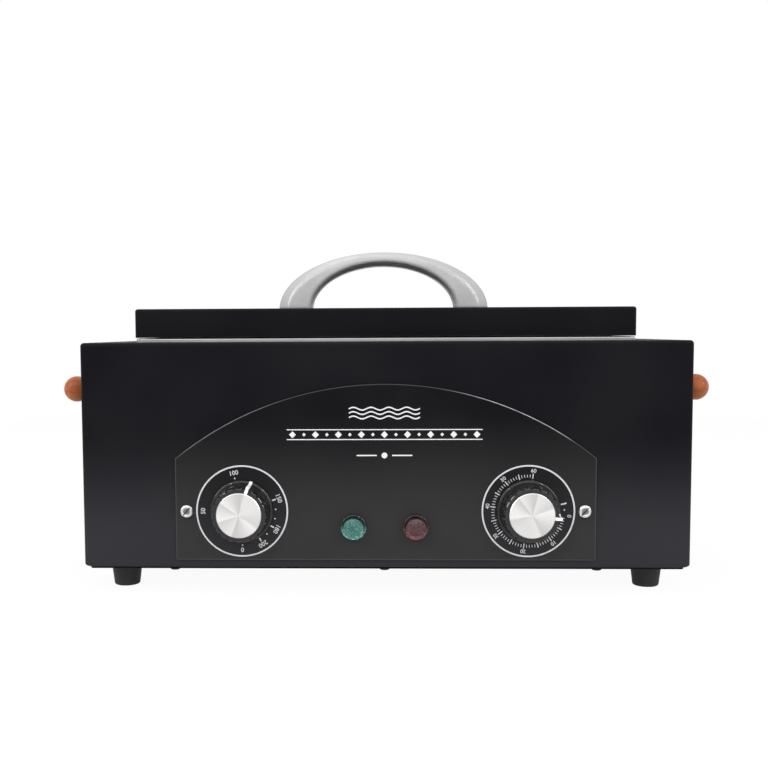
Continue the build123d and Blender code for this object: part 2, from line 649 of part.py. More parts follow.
def make_heat_shield():
    """The sheet tray round the insulation, with flanges spot-welded under the ledge."""
    gap = 4 * SOFT_CLEARANCE
    length = PAN_OUTER_LENGTH + gap + 2 * INSULATION_WALL
    depth = PAN_OUTER_DEPTH + gap + 2 * INSULATION_WALL
    corner = PAN_OUTER_CORNER + SHIELD_SHEET
    top = CASE_TOP - CASE_SHEET
    wall = rounded_block(length + 2 * SHIELD_SHEET, depth + 2 * SHIELD_SHEET, corner, SHIELD_BASE, top)
    flange = rounded_block(length + 2 * SHIELD_FLANGE, depth + 2 * SHIELD_FLANGE, corner,
                           top - SHIELD_SHEET, top)
    shield = wall + flange
    shield -= rounded_block(length, depth, PAN_OUTER_CORNER, SHIELD_FLOOR_TOP, top + CUT_MARGIN)
    for cutter in service_holes(SHIELD_HOLE_CLEARANCE):
        shield -= cutter
    return shield


def capillary_points():
    """The capillary's corners, from the bulb under the spreader to the thermostat."""
    bulb_z = SPREADER_BASE - FIT - BULB_RADIUS
    bulb_y = MID_Y - ELEMENT_PITCH - ELEMENT_RADIUS - CLAMP_MARGIN - BULB_RADIUS - BULB_GAP
    drop_y = FRONT_INSIDE_Y + THERMOSTAT_DEPTH / 2
    return [(-DIAL_X, bulb_y, bulb_z), (-DIAL_X, drop_y, bulb_z),
            (-DIAL_X, drop_y, DIAL_HEIGHT + THERMOSTAT_HEIGHT / 2)]


def make_capillary_bulb():
    """The thermostat's sensing bulb with its thin tube down to the thermostat."""
    start, corner, end = [Vector(*point) for point in capillary_points()]
    bulb = bar_x(BULB_RADIUS, start.X - BULB_LENGTH / 2, start.X + BULB_LENGTH / 2, start.Y, start.Z)
    route = FilletPolyline(start, corner, end, radius=CAPILLARY_BEND)
    tube = sweep(Plane(origin=start, z_dir=(0, -1, 0)) * Circle(CAPILLARY_RADIUS), path=route)
    return bulb + tube


def make_thermal_cutout():
    """The bimetal safety cut-out on the underside of the heat shield."""
    top = SHIELD_BASE
    disc = bar_z(CUTOUT_RADIUS, top - CUTOUT_HEIGHT, top, 0, MID_Y)
    half_length = CUTOUT_STRAP_LENGTH / 2
    half_width = CUTOUT_STRAP_WIDTH / 2
    strap = block(-half_length, half_length, MID_Y - half_width, MID_Y + half_width,
                  top - CUTOUT_STRAP_THICKNESS, top)
    return disc + strap


def make_dial_bush():
    """The threaded bush of a dial switch, through the front and the plate, with its shaft bore."""
    return bar_y(BUSH_RADIUS, PLATE_FRONT_Y - BUSH_PROUD, FRONT_INSIDE_Y + CUT_MARGIN, 0, 0)


def shaft_bore():
    """The running bore for a dial shaft, blind at the back."""
    return bar_y(SHAFT_RADIUS + FIT, PLATE_FRONT_Y - BUSH_PROUD - CUT_MARGIN,
                 FRONT_INSIDE_Y + BUSH_BACK + FIT, 0, 0)


def make_thermostat_body():
    """The capillary thermostat: switch block, diaphragm drum behind it and bush in front."""
    back = FRONT_INSIDE_Y + THERMOSTAT_DEPTH
    body = block(-THERMOSTAT_WIDTH / 2, THERMOSTAT_WIDTH / 2, FRONT_INSIDE_Y, back,
                 -THERMOSTAT_HEIGHT / 2, THERMOSTAT_HEIGHT / 2)
    body = fillet(body.edges().filter_by(Axis.Y), THERMOSTAT_CORNER)
    body += bar_y(THERMOSTAT_DRUM_RADIUS, back, back + THERMOSTAT_DRUM_DEPTH, 0, 0)
    body += make_dial_bush()
    return Pos(DIALS["temperature"], 0, DIAL_HEIGHT) * (body - shaft_bore())


def make_timer_body():
    """The clockwork timer: square base plate, drum and bush."""
    base = block(-TIMER_BASE / 2, TIMER_BASE / 2, FRONT_INSIDE_Y, FRONT_INSIDE_Y + TIMER_BASE_THICKNESS,
                 -TIMER_RADIUS, TIMER_RADIUS)
    base += bar_y(TIMER_RADIUS, FRONT_INSIDE_Y, FRONT_INSIDE_Y + TIMER_DEPTH, 0, 0)
    base += make_dial_bush()
    return Pos(DIALS["timer"], 0, DIAL_HEIGHT) * (base - shaft_bore())


def make_dial_nuts():
    """The nuts that hold both dial switches to the front, hidden under the knobs."""
    nut = plain_nut(DIAL_NUT_ACROSS_FLATS, DIAL_NUT_THICKNESS, BUSH_RADIUS + FIT)
    return [Pos(x, PLATE_FRONT_Y, DIAL_HEIGHT) * Rot(90, 0, 0) * nut for x in DIALS.values()]


def shaft_section(radius, depth):
    """A round shaft's section with one flat."""
    return Circle(radius) - Pos(0, 2 * radius - depth) * Rectangle(4 * radius, 2 * radius)


def make_shaft(x, angle):
    """A dial shaft, with a flat where the knob grips it, turned with its knob."""
    front = PLATE_FRONT_Y - KNOB_GAP - KNOB_HEIGHT + CAP_THICKNESS + SHAFT_INSET
    grip_back = PLATE_FRONT_Y - BUSH_PROUD - FIT
    round_part = bar_y(SHAFT_RADIUS, grip_back, FRONT_INSIDE_Y + BUSH_BACK, x, DIAL_HEIGHT)
    grip = extrude(shaft_section(SHAFT_RADIUS, SHAFT_FLAT_DEPTH), grip_back - front)
    return round_part + Pos(x, grip_back, DIAL_HEIGHT) * Rot(0, angle, 0) * Rot(90, 0, 0) * grip


def knob_profile():
    """Half of the knob's section: skirt with a rounded rim, a hollow flare, then the tapered body."""
    rim = (KNOB_SKIRT_RADIUS, KNOB_SKIRT_THICKNESS - KNOB_SKIRT_ROUND)
    skirt_top = (KNOB_SKIRT_RADIUS - KNOB_SKIRT_ROUND, KNOB_SKIRT_THICKNESS)
    body_foot = (KNOB_BODY_RADIUS, KNOB_SKIRT_THICKNESS + KNOB_FLARE)
    body_top = (KNOB_TOP_RADIUS, KNOB_HEIGHT)
    return make_face([
        Line((0, 0), (KNOB_SKIRT_RADIUS, 0)),
        Line((KNOB_SKIRT_RADIUS, 0), rim),
        RadiusArc(rim, skirt_top, -KNOB_SKIRT_ROUND),
        RadiusArc(skirt_top, body_foot, 2 * KNOB_FLARE),
        Line(body_foot, body_top),
        Line(body_top, (0, KNOB_HEIGHT)),
        Line((0, KNOB_HEIGHT), (0, 0)),
    ])


def knob_flutes():
    """The grooves round the knob's body, which run out at its top and lean with its taper."""
    foot = KNOB_SKIRT_THICKNESS + KNOB_FLARE
    lean = math.degrees(math.atan2(KNOB_BODY_RADIUS - KNOB_TOP_RADIUS, KNOB_HEIGHT - foot))
    centre = KNOB_BODY_RADIUS + KNOB_FLUTE_RADIUS - KNOB_FLUTE_DEPTH
    flute = Pos(0, centre, foot) * Rot(lean, 0, 0) * extrude(Circle(KNOB_FLUTE_RADIUS), KNOB_HEIGHT)
    step = 360 / KNOB_FLUTES
    return [Rot(0, 0, (index + 0.5) * step) * flute for index in range(KNOB_FLUTES)]


def make_knob(x, angle):
    """A fluted skirted knob, pointing clockwise from twelve by the angle."""
    knob = revolve(Plane.XZ * knob_profile(), Axis.Z)
    knob = chamfer(edges_at_height(knob, KNOB_HEIGHT), KNOB_TOP_CHAMFER)
    for flute in knob_flutes():
        knob -= flute
    half = KNOB_POINTER_WIDTH / 2
    knob += block(-half, half, 0, KNOB_BODY_RADIUS + KNOB_POINTER_RISE, 0, KNOB_HEIGHT)
    knob += block(-half, half, 0, KNOB_SKIRT_RADIUS - KNOB_POINTER_RISE, 0,
                  KNOB_SKIRT_THICKNESS + KNOB_POINTER_RISE)
    cap_seat = KNOB_HEIGHT + CAP_PROUD - CAP_THICKNESS
    knob -= bar_z(CAP_RADIUS + PRESS, cap_seat, KNOB_HEIGHT + CUT_MARGIN, 0, 0)
    knob -= bar_z(KNOB_RECESS_RADIUS, -CUT_MARGIN, KNOB_RECESS_DEPTH, 0, 0)
    bore_top = KNOB_HEIGHT - CAP_THICKNESS - SHAFT_INSET
    knob -= extrude(shaft_section(SHAFT_RADIUS + PRESS, SHAFT_FLAT_DEPTH), bore_top)
    return knob_place(x, angle) * knob


def knob_place(x, angle):
    """Turns a knob that was drawn on its back to face the front, at its dial and rest angle."""
    return Pos(x, PLATE_FRONT_Y - KNOB_GAP, DIAL_HEIGHT) * Rot(0, angle, 0) * Rot(90, 0, 0)


def make_knob_cap(x, angle):
    """The spun aluminium disc let into the face of a knob."""
    cap = Cylinder(CAP_RADIUS, CAP_THICKNESS)
    cap = chamfer(cap.edges().sort_by(Axis.Z)[-1], CAP_CHAMFER)
    return knob_place(x, angle) * Pos(0, 0, KNOB_HEIGHT + CAP_PROUD - CAP_THICKNESS / 2) * cap


def make_lamp_lens(x):
    """A coloured lamp cap: round flange and a faceted, slightly tapered lens with a domed face."""
    flange = Pos(0, 0, LAMP_FLANGE_THICKNESS / 2) * Cylinder(LAMP_FLANGE_RADIUS, LAMP_FLANGE_THICKNESS)
    flange = fillet(edges_at_height(flange, LAMP_FLANGE_THICKNESS), LAMP_FLANGE_ROUND)
    base = Pos(0, 0, LAMP_FLANGE_THICKNESS) * RegularPolygon(LAMP_LENS_RADIUS, LAMP_FACETS)
    face = Pos(0, 0, LAMP_LENS_HEIGHT) * RegularPolygon(LAMP_FACE_RADIUS, LAMP_FACETS)
    lens = loft([base, face])
    dome_edge = LAMP_FACE_RADIUS - LAMP_DOME_EDGE
    dome_radius = (dome_edge ** 2 + LAMP_DOME_RISE ** 2) / (2 * LAMP_DOME_RISE)
    dome = Pos(0, 0, LAMP_LENS_HEIGHT + LAMP_DOME_RISE - dome_radius) * Sphere(dome_radius)
    dome &= Pos(0, 0, LAMP_LENS_HEIGHT) * Cylinder(dome_edge, 2 * LAMP_DOME_RISE)
    lamp = flange + lens + dome
    return Pos(x, PLATE_FRONT_Y, LAMP_HEIGHT) * Rot(90, 0, 0) * lamp


def make_lamp_holder(x):
    """The barrel behind a lamp cap, with its two tabs."""
    back = PLATE_FRONT_Y + LAMP_BARREL_LENGTH
    holder = bar_y(LAMP_BARREL_RADIUS, PLATE_FRONT_Y, back, x, LAMP_HEIGHT)
    half_width = LAMP_TAB_WIDTH / 2
    for middle in (x - LAMP_TAB_SPACING / 2, x + LAMP_TAB_SPACING / 2):
        holder += block(middle - LAMP_TAB_THICKNESS / 2, middle + LAMP_TAB_THICKNESS / 2, back,
                        back + LAMP_TAB_LENGTH, LAMP_HEIGHT - half_width, LAMP_HEIGHT + half_width)
    return holder


def make_lamp_nuts():
    """The round nuts that hold the lamps behind the front."""
    nut = Cylinder(LAMP_NUT_RADIUS, LAMP_NUT_THICKNESS)
    nut -= Cylinder(LAMP_BARREL_RADIUS + FIT, 2 * LAMP_NUT_THICKNESS)
    return [Pos(x, FRONT_INSIDE_Y + LAMP_NUT_THICKNESS / 2, LAMP_HEIGHT) * Rot(90, 0, 0) * nut
            for x in LAMPS.values()]


def inlet_outline(width, height, grow, low, high):
    """The inlet's section, a rectangle with its two upper corners cut, between two planes."""
    half = width / 2 + grow
    up = height / 2 + grow
    cut = INLET_CHAMFER
    section = make_face(Polyline((-half, -up), (half, -up), (half, up - cut), (half - cut, up),
                                 (cut - half, up), (-half, up - cut), close=True))
    return facing_front(INLET_X, high, INLET_HEIGHT) * extrude(section, high - low)


def make_inlet_housing():
    """The moulded appliance inlet: flange outside, socket recessed into the case."""
    face = REAR_Y + INLET_FLANGE_THICKNESS
    flange = extrude(RectangleRounded(INLET_FLANGE_WIDTH, INLET_FLANGE_HEIGHT, INLET_FLANGE_CORNER),
                     INLET_FLANGE_THICKNESS)
    housing = Pos(INLET_X, face, INLET_HEIGHT) * Rot(90, 0, 0) * flange
    back = REAR_Y - INLET_BODY_DEPTH
    housing += inlet_outline(INLET_BODY_WIDTH, INLET_BODY_HEIGHT, 0, back, face)
    housing -= inlet_outline(INLET_BODY_WIDTH - 2 * INLET_WALL, INLET_BODY_HEIGHT - 2 * INLET_WALL, 0,
                             back + INLET_WALL, face + CUT_MARGIN)
    for x, z in inlet_pin_places():
        half_w = INLET_PIN_WIDTH / 2 + PRESS
        half_h = INLET_PIN_HEIGHT / 2 + PRESS
        housing -= block(x - half_w, x + half_w, back - CUT_MARGIN, back + 2 * INLET_WALL,
                         z - half_h, z + half_h)
    for x in inlet_screw_places():
        housing -= Pos(x, face, INLET_HEIGHT) * Rot(-90, 0, 0) * countersink(
            SCREW_RADIUS, INLET_FLANGE_THICKNESS / 2)
        housing -= bar_y(SCREW_RADIUS + SCREW_CLEARANCE, REAR_Y - CUT_MARGIN, face, x, INLET_HEIGHT)
    return housing


def inlet_pin_places():
    """The three contact pins: two below and the earth pin above between them."""
    low = INLET_HEIGHT - INLET_PIN_OFFSET
    high = INLET_HEIGHT + INLET_PIN_OFFSET
    half = INLET_PIN_SPACING / 2
    return [(INLET_X - half, low), (INLET_X + half, low), (INLET_X, high)]


def make_inlet_pins():
    """Flat contact pins with their solder tabs behind the housing."""
    low = REAR_Y - INLET_BODY_DEPTH - INLET_TAB_LENGTH
    high = REAR_Y + INLET_FLANGE_THICKNESS - INLET_PIN_SETBACK
    half_w = INLET_PIN_WIDTH / 2
    half_h = INLET_PIN_HEIGHT / 2
    return [block(x - half_w, x + half_w, low, high, z - half_h, z + half_h) for x, z in inlet_pin_places()]


def make_inlet_screws():
    """The two countersunk screws of the inlet."""
    face = REAR_Y + INLET_FLANGE_THICKNESS
    screw = countersunk_screw(SCREW_RADIUS, INLET_FLANGE_THICKNESS + SCREW_LENGTH, INLET_FLANGE_THICKNESS / 2)
    return [Pos(x, face, INLET_HEIGHT) * Rot(-90, 0, 0) * screw for x in inlet_screw_places()]


def make_terminal_block():
    """The ceramic terminal block on the bottom plate."""
    body = Pos(0, MID_Y, CASE_BOTTOM + TERMINAL_HEIGHT / 2) * Box(
        TERMINAL_LENGTH, TERMINAL_DEPTH, TERMINAL_HEIGHT)
    pitch = TERMINAL_LENGTH / TERMINAL_WAYS
    for index in range(TERMINAL_WAYS):
        x = (index - (TERMINAL_WAYS - 1) / 2) * pitch
        body -= bar_y(TERMINAL_PORT_RADIUS, MID_Y - TERMINAL_DEPTH, MID_Y + TERMINAL_DEPTH,
                      x, CASE_BOTTOM + TERMINAL_HEIGHT / 2)
    return body


def ball_place(side):
    """Turns what was drawn along +X to the side of the case, at the height of the balls."""
    return Pos(0, MID_Y, BALL_HEIGHT) * Rot(0, 0, 90 - 90 * side)


def make_ball_stem(side):
    """The stud that carries a side ball: collar on the wall, spindle into the ball, tail inside."""
    wall = CASE_WIDTH / 2
    ball_end = wall + BALL_STAND_OFF - BALL_RADIUS + BALL_SOCKET_DEPTH
    stem = bar_x(STEM_RADIUS, wall - STEM_TAIL, ball_end, 0, 0)
    collar = bar_x(STEM_COLLAR_RADIUS, wall, wall + STEM_COLLAR_LENGTH, 0, 0)
    collar = chamfer(collar.edges().sort_by(Axis.X)[-1], STEM_COLLAR_CHAMFER)
    stem += collar
    return ball_place(side) * stem


def make_wood_ball(side):
    """A turned wooden ball with a flat seat and a blind hole for its stem."""
    centre = CASE_WIDTH / 2 + BALL_STAND_OFF
    ball = Pos(centre, 0, 0) * Sphere(BALL_RADIUS)
    socket_end = centre - BALL_RADIUS + BALL_SOCKET_DEPTH
    ball -= bar_x(STEM_RADIUS + PRESS, centre - 2 * BALL_RADIUS, socket_end, 0, 0)
    return ball_place(side) * ball


def make_stem_nuts():
    """The nuts on the stems inside the side walls."""
    nut = plain_nut(STEM_NUT_ACROSS_FLATS, STEM_NUT_THICKNESS, STEM_RADIUS + FIT)
    inside = CASE_WIDTH / 2 - CASE_SHEET
    return [Pos(side * inside, MID_Y, BALL_HEIGHT) * Rot(0, -90 * side, 0) * nut for side in SIDES.values()]


def hinge_leaf(outer_knuckles):
    """A hinge leaf drawn on its pin, which runs along X: the leaf lies to +Y, below the pin."""
    gap = 0 if outer_knuckles else HINGE_GAP
    half = HINGE_WIDTH / 2
    third = HINGE_WIDTH / 6
    under = -HINGE_KNUCKLE_RADIUS - gap
    start = HINGE_KNUCKLE_RADIUS + HINGE_GAP
    if outer_knuckles:
        spans = [(-half, -third - HINGE_GAP / 2), (third + HINGE_GAP / 2, half)]
    else:
        spans = [(-third + HINGE_GAP / 2, third - HINGE_GAP / 2)]
    leaf = block(-half, half, start, HINGE_LEAF_LENGTH, under, under + HINGE_LEAF_THICKNESS)
    leaf = fillet(leaf.edges().filter_by(Axis.Z).sort_by(Axis.Y)[-2:], HINGE_LEAF_CORNER)
    for low, high in spans:
        leaf += bar_x(HINGE_KNUCKLE_RADIUS, low, high, 0, 0)
        leaf += block(low, high, 0, start, under, under + HINGE_LEAF_THICKNESS)
    leaf -= bar_x(HINGE_PIN_RADIUS + FIT, -HINGE_WIDTH, HINGE_WIDTH, 0, 0)
    for shift in (-HINGE_SCREW_SPACING / 2, HINGE_SCREW_SPACING / 2):
        leaf -= Pos(shift, HINGE_SCREW_REACH, under + HINGE_LEAF_THICKNESS) * countersink(
            SCREW_RADIUS, HINGE_LEAF_THICKNESS)
    return leaf


def hinge_screws_of(side):
    """Countersunk screws drawn for a leaf on its pin."""
    screw = countersunk_screw(SCREW_RADIUS, SCREW_LENGTH, HINGE_LEAF_THICKNESS)
    return [(x - side * HINGE_X, screw) for x in hinge_screw_places(side)]


def make_case_hinge_leaf(side):
    """The leaf screwed to the rear ledge, with the two outer knuckles."""
    return Pos(side * HINGE_X, HINGE_AXIS_Y, HINGE_AXIS_Z) * hinge_leaf(True)


def make_lid_hinge_leaf(side):
    """The leaf screwed to the lid's rear skirt, with the middle knuckle."""
    return lid_leaf_place(side) * hinge_leaf(False)


def lid_leaf_place(side):
    """Stands a leaf drawn flat up against the lid's rear skirt."""
    return Pos(side * HINGE_X, HINGE_AXIS_Y, HINGE_AXIS_Z) * Rot(0, 0, 180) * Rot(90, 0, 0)


def make_case_hinge_screws():
    """Screws of the case leaves."""
    top = -HINGE_KNUCKLE_RADIUS + HINGE_LEAF_THICKNESS
    return [Pos(side * HINGE_X + x, HINGE_AXIS_Y + HINGE_SCREW_REACH, HINGE_AXIS_Z + top) * screw
            for side in SIDES.values() for x, screw in hinge_screws_of(side)]


def make_lid_hinge_screws():
    """Screws of the lid leaves."""
    top = -HINGE_KNUCKLE_RADIUS - HINGE_GAP + HINGE_LEAF_THICKNESS
    return [lid_leaf_place(side) * Pos(x, HINGE_SCREW_REACH, top) * screw
            for side in SIDES.values() for x, screw in hinge_screws_of(side)]


def make_hinge_pin(side):
    """A hinge pin as long as its hinge."""
    half = HINGE_WIDTH / 2
    return bar_x(HINGE_PIN_RADIUS, side * HINGE_X - half, side * HINGE_X + half, HINGE_AXIS_Y, HINGE_AXIS_Z)


def hole_line(length):
    """Where a centred row of tray holes goes along a floor of one length."""
    count = 1 + int((length - 2 * TRAY_HOLE_MARGIN) / TRAY_HOLE_PITCH)
    return [(index - (count - 1) / 2) * TRAY_HOLE_PITCH for index in range(count)]


def make_instrument_tray():
    """The perforated tray: drawn walls, a small turned-out rim and a floor of round holes."""
    top = TRAY_TOP
    outer = rounded_block(TRAY_LENGTH, TRAY_DEPTH, TRAY_CORNER_RADIUS, PAN_FLOOR, top)
    outer = fillet(edges_at_height(outer, PAN_FLOOR), TRAY_FLOOR_RADIUS)
    rim = rounded_block(TRAY_LENGTH + 2 * TRAY_RIM, TRAY_DEPTH + 2 * TRAY_RIM, TRAY_CORNER_RADIUS + TRAY_RIM,
                        top - TRAY_SHEET, top)
    inner = rounded_block(TRAY_LENGTH - 2 * TRAY_SHEET, TRAY_DEPTH - 2 * TRAY_SHEET,
                          TRAY_CORNER_RADIUS - TRAY_SHEET, PAN_FLOOR + TRAY_SHEET, top + CUT_MARGIN)
    inner = fillet(edges_at_height(inner, PAN_FLOOR + TRAY_SHEET), TRAY_FLOOR_RADIUS - TRAY_SHEET)
    tray = outer + rim - inner
    above = PAN_FLOOR + TRAY_SHEET + CUT_MARGIN
    holes = [bar_z(TRAY_HOLE_RADIUS, PAN_FLOOR - CUT_MARGIN, above, x, MID_Y + y)
             for x in hole_line(TRAY_LENGTH) for y in hole_line(TRAY_DEPTH)]
    return tray - holes


def make_tray_loop(side):
    """A bent wire handle welded inside one end wall of the tray."""
    x = side * (TRAY_LENGTH / 2 - TRAY_SHEET - FIT - TRAY_LOOP_WIRE_RADIUS)
    front = MID_Y - TRAY_LOOP_WIDTH / 2
    rear = MID_Y + TRAY_LOOP_WIDTH / 2
    low = TRAY_TOP - TRAY_LOOP_LEG
    high = TRAY_TOP + TRAY_LOOP_RISE - TRAY_LOOP_WIRE_RADIUS
    corners = [(x, front, low), (x, front, high), (x, rear, high), (x, rear, low)]
    route = FilletPolyline(*corners, radius=TRAY_LOOP_BEND)
    return sweep(Plane(origin=corners[0], z_dir=(0, 0, 1)) * Circle(TRAY_LOOP_WIRE_RADIUS), path=route)


def make_lid_shell():
    """The lid's outer pan, folded from sheet, with holes for the handle and hinge screws."""
    outer = rounded_block(LID_LENGTH, LID_DEPTH, LID_CORNER_RADIUS, LID_BOTTOM, LID_TOP)
    outer = fillet(edges_at_height(outer, LID_TOP), LID_EDGE_RADIUS)
    inner_top = LID_TOP - LID_SHEET
    inner = rounded_block(LID_LENGTH - 2 * LID_SHEET, LID_DEPTH - 2 * LID_SHEET,
                          LID_CORNER_RADIUS - LID_SHEET, LID_BOTTOM - CUT_MARGIN, inner_top)
    inner = fillet(edges_at_height(inner, inner_top), LID_EDGE_RADIUS - LID_SHEET)
    shell = outer - inner
    for x in handle_screw_places():
        shell -= bar_z(HANDLE_SCREW_RADIUS + SCREW_CLEARANCE, inner_top - CUT_MARGIN,
                       LID_TOP + CUT_MARGIN, x, MID_Y)
    for side in SIDES.values():
        for x in hinge_screw_places(side):
            shell -= bar_y(SCREW_RADIUS + SCREW_CLEARANCE, LID_REAR_Y - 2 * LID_SHEET,
                           LID_REAR_Y + CUT_MARGIN, x, HINGE_AXIS_Z + HINGE_SCREW_REACH)
    return shell


def make_lid_inner_panel():
    """The stainless panel that closes the lid from below, with turned-up edges."""
    low = LID_BOTTOM + LID_SEAL_THICKNESS
    high = low + LID_PANEL_FLANGE
    length = LID_LENGTH - 2 * (LID_SHEET + FIT)
    depth = LID_DEPTH - 2 * (LID_SHEET + FIT)
    corner = LID_CORNER_RADIUS - LID_SHEET
    panel = rounded_block(length, depth, corner, low, high)
    panel -= rounded_block(length - 2 * LID_PANEL_SHEET, depth - 2 * LID_PANEL_SHEET,
                           corner - LID_PANEL_SHEET, low + LID_PANEL_SHEET, high + CUT_MARGIN)
    reach = LID_REAR_Y - LID_SHEET - SCREW_LENGTH
    for side in SIDES.values():
        for x in hinge_screw_places(side):
            panel -= bar_y(SCREW_RADIUS + 2 * SCREW_CLEARANCE, reach, LID_REAR_Y,
                           x, HINGE_AXIS_Z + HINGE_SCREW_REACH)
    return panel


def make_lid_seal():
    """The flat silicone seal under the lid, over the chamber's rim."""
    low = LID_BOTTOM
    high = LID_BOTTOM + LID_SEAL_THICKNESS
    margin = (LINER_RIM_WIDTH - LID_SEAL_WIDTH) / 2
    reach = margin + LID_SEAL_WIDTH
    outer = rounded_block(PAN_LENGTH + 2 * reach, PAN_DEPTH + 2 * reach,
                          LINER_CORNER_RADIUS + reach, low, high)
    inner = rounded_block(PAN_LENGTH + 2 * margin, PAN_DEPTH + 2 * margin,
                          LINER_CORNER_RADIUS + margin, low - CUT_MARGIN, high + CUT_MARGIN)
    return outer - inner


def make_lid_insulation():
    """The slab of wool in the lid, lying on the inner panel."""
    low = LID_BOTTOM + LID_SEAL_THICKNESS + LID_PANEL_SHEET
    inset = LID_SHEET + LID_PANEL_SHEET + FIT + SOFT_CLEARANCE
    slab = rounded_block(LID_LENGTH - 2 * inset, LID_DEPTH - 2 * (inset + SCREW_LENGTH), LID_CORNER_RADIUS,
                         low, low + LID_INSULATION_THICKNESS)
    return slab


def handle_screw_places():
    """The middle of each leg of the handle."""
    middle = HANDLE_HALF_SPAN - HANDLE_LEG_WIDTH / 2
    return (-middle, middle)


def arch_section(y, outer_leg, outer_crown, inner_leg, inner_crown):
    """The handle's arch on an upright plane, its two edges drawn in by insets at the legs and crown."""
    outer_span = HANDLE_HALF_SPAN - outer_leg
    outer_rise = HANDLE_RISE - outer_crown
    inner_span = HANDLE_HALF_SPAN - HANDLE_LEG_WIDTH + inner_leg
    inner_rise = HANDLE_RISE - HANDLE_CROWN + inner_crown
    sketch = make_face([
        EllipticalCenterArc((0, 0), outer_span, outer_rise, start_angle=0, arc_size=180),
        Line((-outer_span, 0), (-inner_span, 0)),
        EllipticalCenterArc((0, 0), inner_span, inner_rise, start_angle=0, arc_size=180),
        Line((inner_span, 0), (outer_span, 0)),
    ])
    return facing_front(0, y, 0) * sketch


def make_bow_handle():
    """The cast bow handle: an elliptical arch with wide legs and a thin crown, its edges bevelled."""
    face = HANDLE_DEPTH / 2
    full = face - HANDLE_BEVEL_DEPTH
    bevels = (HANDLE_OUTER_BEVEL_LEG, HANDLE_OUTER_BEVEL_CROWN,
              HANDLE_INNER_BEVEL_LEG, HANDLE_INNER_BEVEL_CROWN)
    sections = [arch_section(-face, *bevels), arch_section(-full, 0, 0, 0, 0),
                arch_section(full, 0, 0, 0, 0), arch_section(face, *bevels)]
    bow = loft(sections, ruled=True)
    for x in handle_screw_places():
        bow -= bar_z(HANDLE_SCREW_RADIUS + SCREW_CLEARANCE, -CUT_MARGIN, HANDLE_SCREW_REACH, x, 0)
    return Pos(0, MID_Y, LID_TOP) * bow


def make_handle_screws():
    """Two screws from inside the lid up into the handle's legs."""
    length = LID_SHEET + HANDLE_SCREW_REACH - HANDLE_SCREW_SPARE
    screw = slotted_screw(HANDLE_SCREW_RADIUS, length, HANDLE_SCREW_HEAD_RADIUS, HANDLE_SCREW_HEAD_HEIGHT)
    return [Pos(x, MID_Y, LID_TOP - LID_SHEET) * Rot(180, 0, 0) * screw for x in handle_screw_places()]


def make_parts():
    """Every node by name."""
    parts = {
        "outer_case": make_outer_case(),
        "bottom_plate": make_bottom_plate(),
        "bottom_plate_screws": make_bottom_plate_screws(),
        "foot_screws": make_foot_screws(),
        "foot_nuts": make_foot_nuts(),
        "control_plate": make_control_plate(),
        "control_plate_screws": make_control_plate_screws(),
        "control_plate_nuts": make_control_plate_nuts(),
        "chamber_liner": make_chamber_liner(),
        "heat_spreader": make_heat_spreader(),
        "heating_element": make_heating_element(),
        "element_clamps": make_element_clamps(),
        "chamber_insulation": make_chamber_insulation(),
        "heat_shield": make_heat_shield(),
        "capillary_bulb": make_capillary_bulb(),
        "thermal_cutout": make_thermal_cutout(),
        "thermostat_body": make_thermostat_body(),
        "timer_body": make_timer_body(),
        "dial_nuts": make_dial_nuts(),
        "lamp_nuts": make_lamp_nuts(),
        "terminal_block": make_terminal_block(),
        "inlet_housing": make_inlet_housing(),
        "inlet_pins": make_inlet_pins(),
        "inlet_screws": make_inlet_screws(),
        "stem_nuts": make_stem_nuts(),
        "case_hinge_screws": make_case_hinge_screws(),
        "lid_hinge_screws": make_lid_hinge_screws(),
        "instrument_tray": make_instrument_tray(),
        "lid_shell": make_lid_shell(),
        "lid_inner_panel": make_lid_inner_panel(),
        "lid_seal": make_lid_seal(),
        "lid_insulation": make_lid_insulation(),
        "bow_handle": make_bow_handle(),
        "handle_screws": make_handle_screws(),
        "temperature_knob": make_knob(DIALS["temperature"], TEMPERATURE_REST_ANGLE),
        "temperature_knob_cap": make_knob_cap(DIALS["temperature"], TEMPERATURE_REST_ANGLE),
        "thermostat_shaft": make_shaft(DIALS["temperature"], TEMPERATURE_REST_ANGLE),
        "timer_knob": make_knob(DIALS["timer"], TIMER_REST_ANGLE),
        "timer_knob_cap": make_knob_cap(DIALS["timer"], TIMER_REST_ANGLE),
        "timer_shaft": make_shaft(DIALS["timer"], TIMER_REST_ANGLE),
    }
    for name, (x, y) in foot_places().items():
        parts["foot_" + name] = make_foot(x, y)
    for colour, x in LAMPS.items():
        parts[colour + "_lamp_lens"] = make_lamp_lens(x)
        parts[colour + "_lamp_holder"] = make_lamp_holder(x)
    for name, side in SIDES.items():
        parts["ball_stem_" + name] = make_ball_stem(side)
        parts["wood_ball_" + name] = make_wood_ball(side)
        parts["case_hinge_leaf_" + name] = make_case_hinge_leaf(side)
        parts["lid_hinge_leaf_" + name] = make_lid_hinge_leaf(side)
        parts["hinge_pin_" + name] = make_hinge_pin(side)
        parts["tray_loop_" + name] = make_tray_loop(side)
    return parts


def main():
    """Builds every node and writes one STEP file for each."""
    os.makedirs("parts", exist_ok=True)
    for name, shape in make_parts().items():
        solid = Compound(children=shape) if isinstance(shape, list) else shape
        export_step(solid, "parts/" + name + ".step")
        print(name, len(solid.solids()), round(solid.volume, 1))


main()
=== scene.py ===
"""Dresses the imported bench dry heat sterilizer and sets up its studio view."""

import logging
import math
from dataclasses import dataclass
from enum import Enum, auto
from typing import Callable, Iterable, Sequence, Union

import bmesh
import bpy
from mathutils import Matrix, Vector


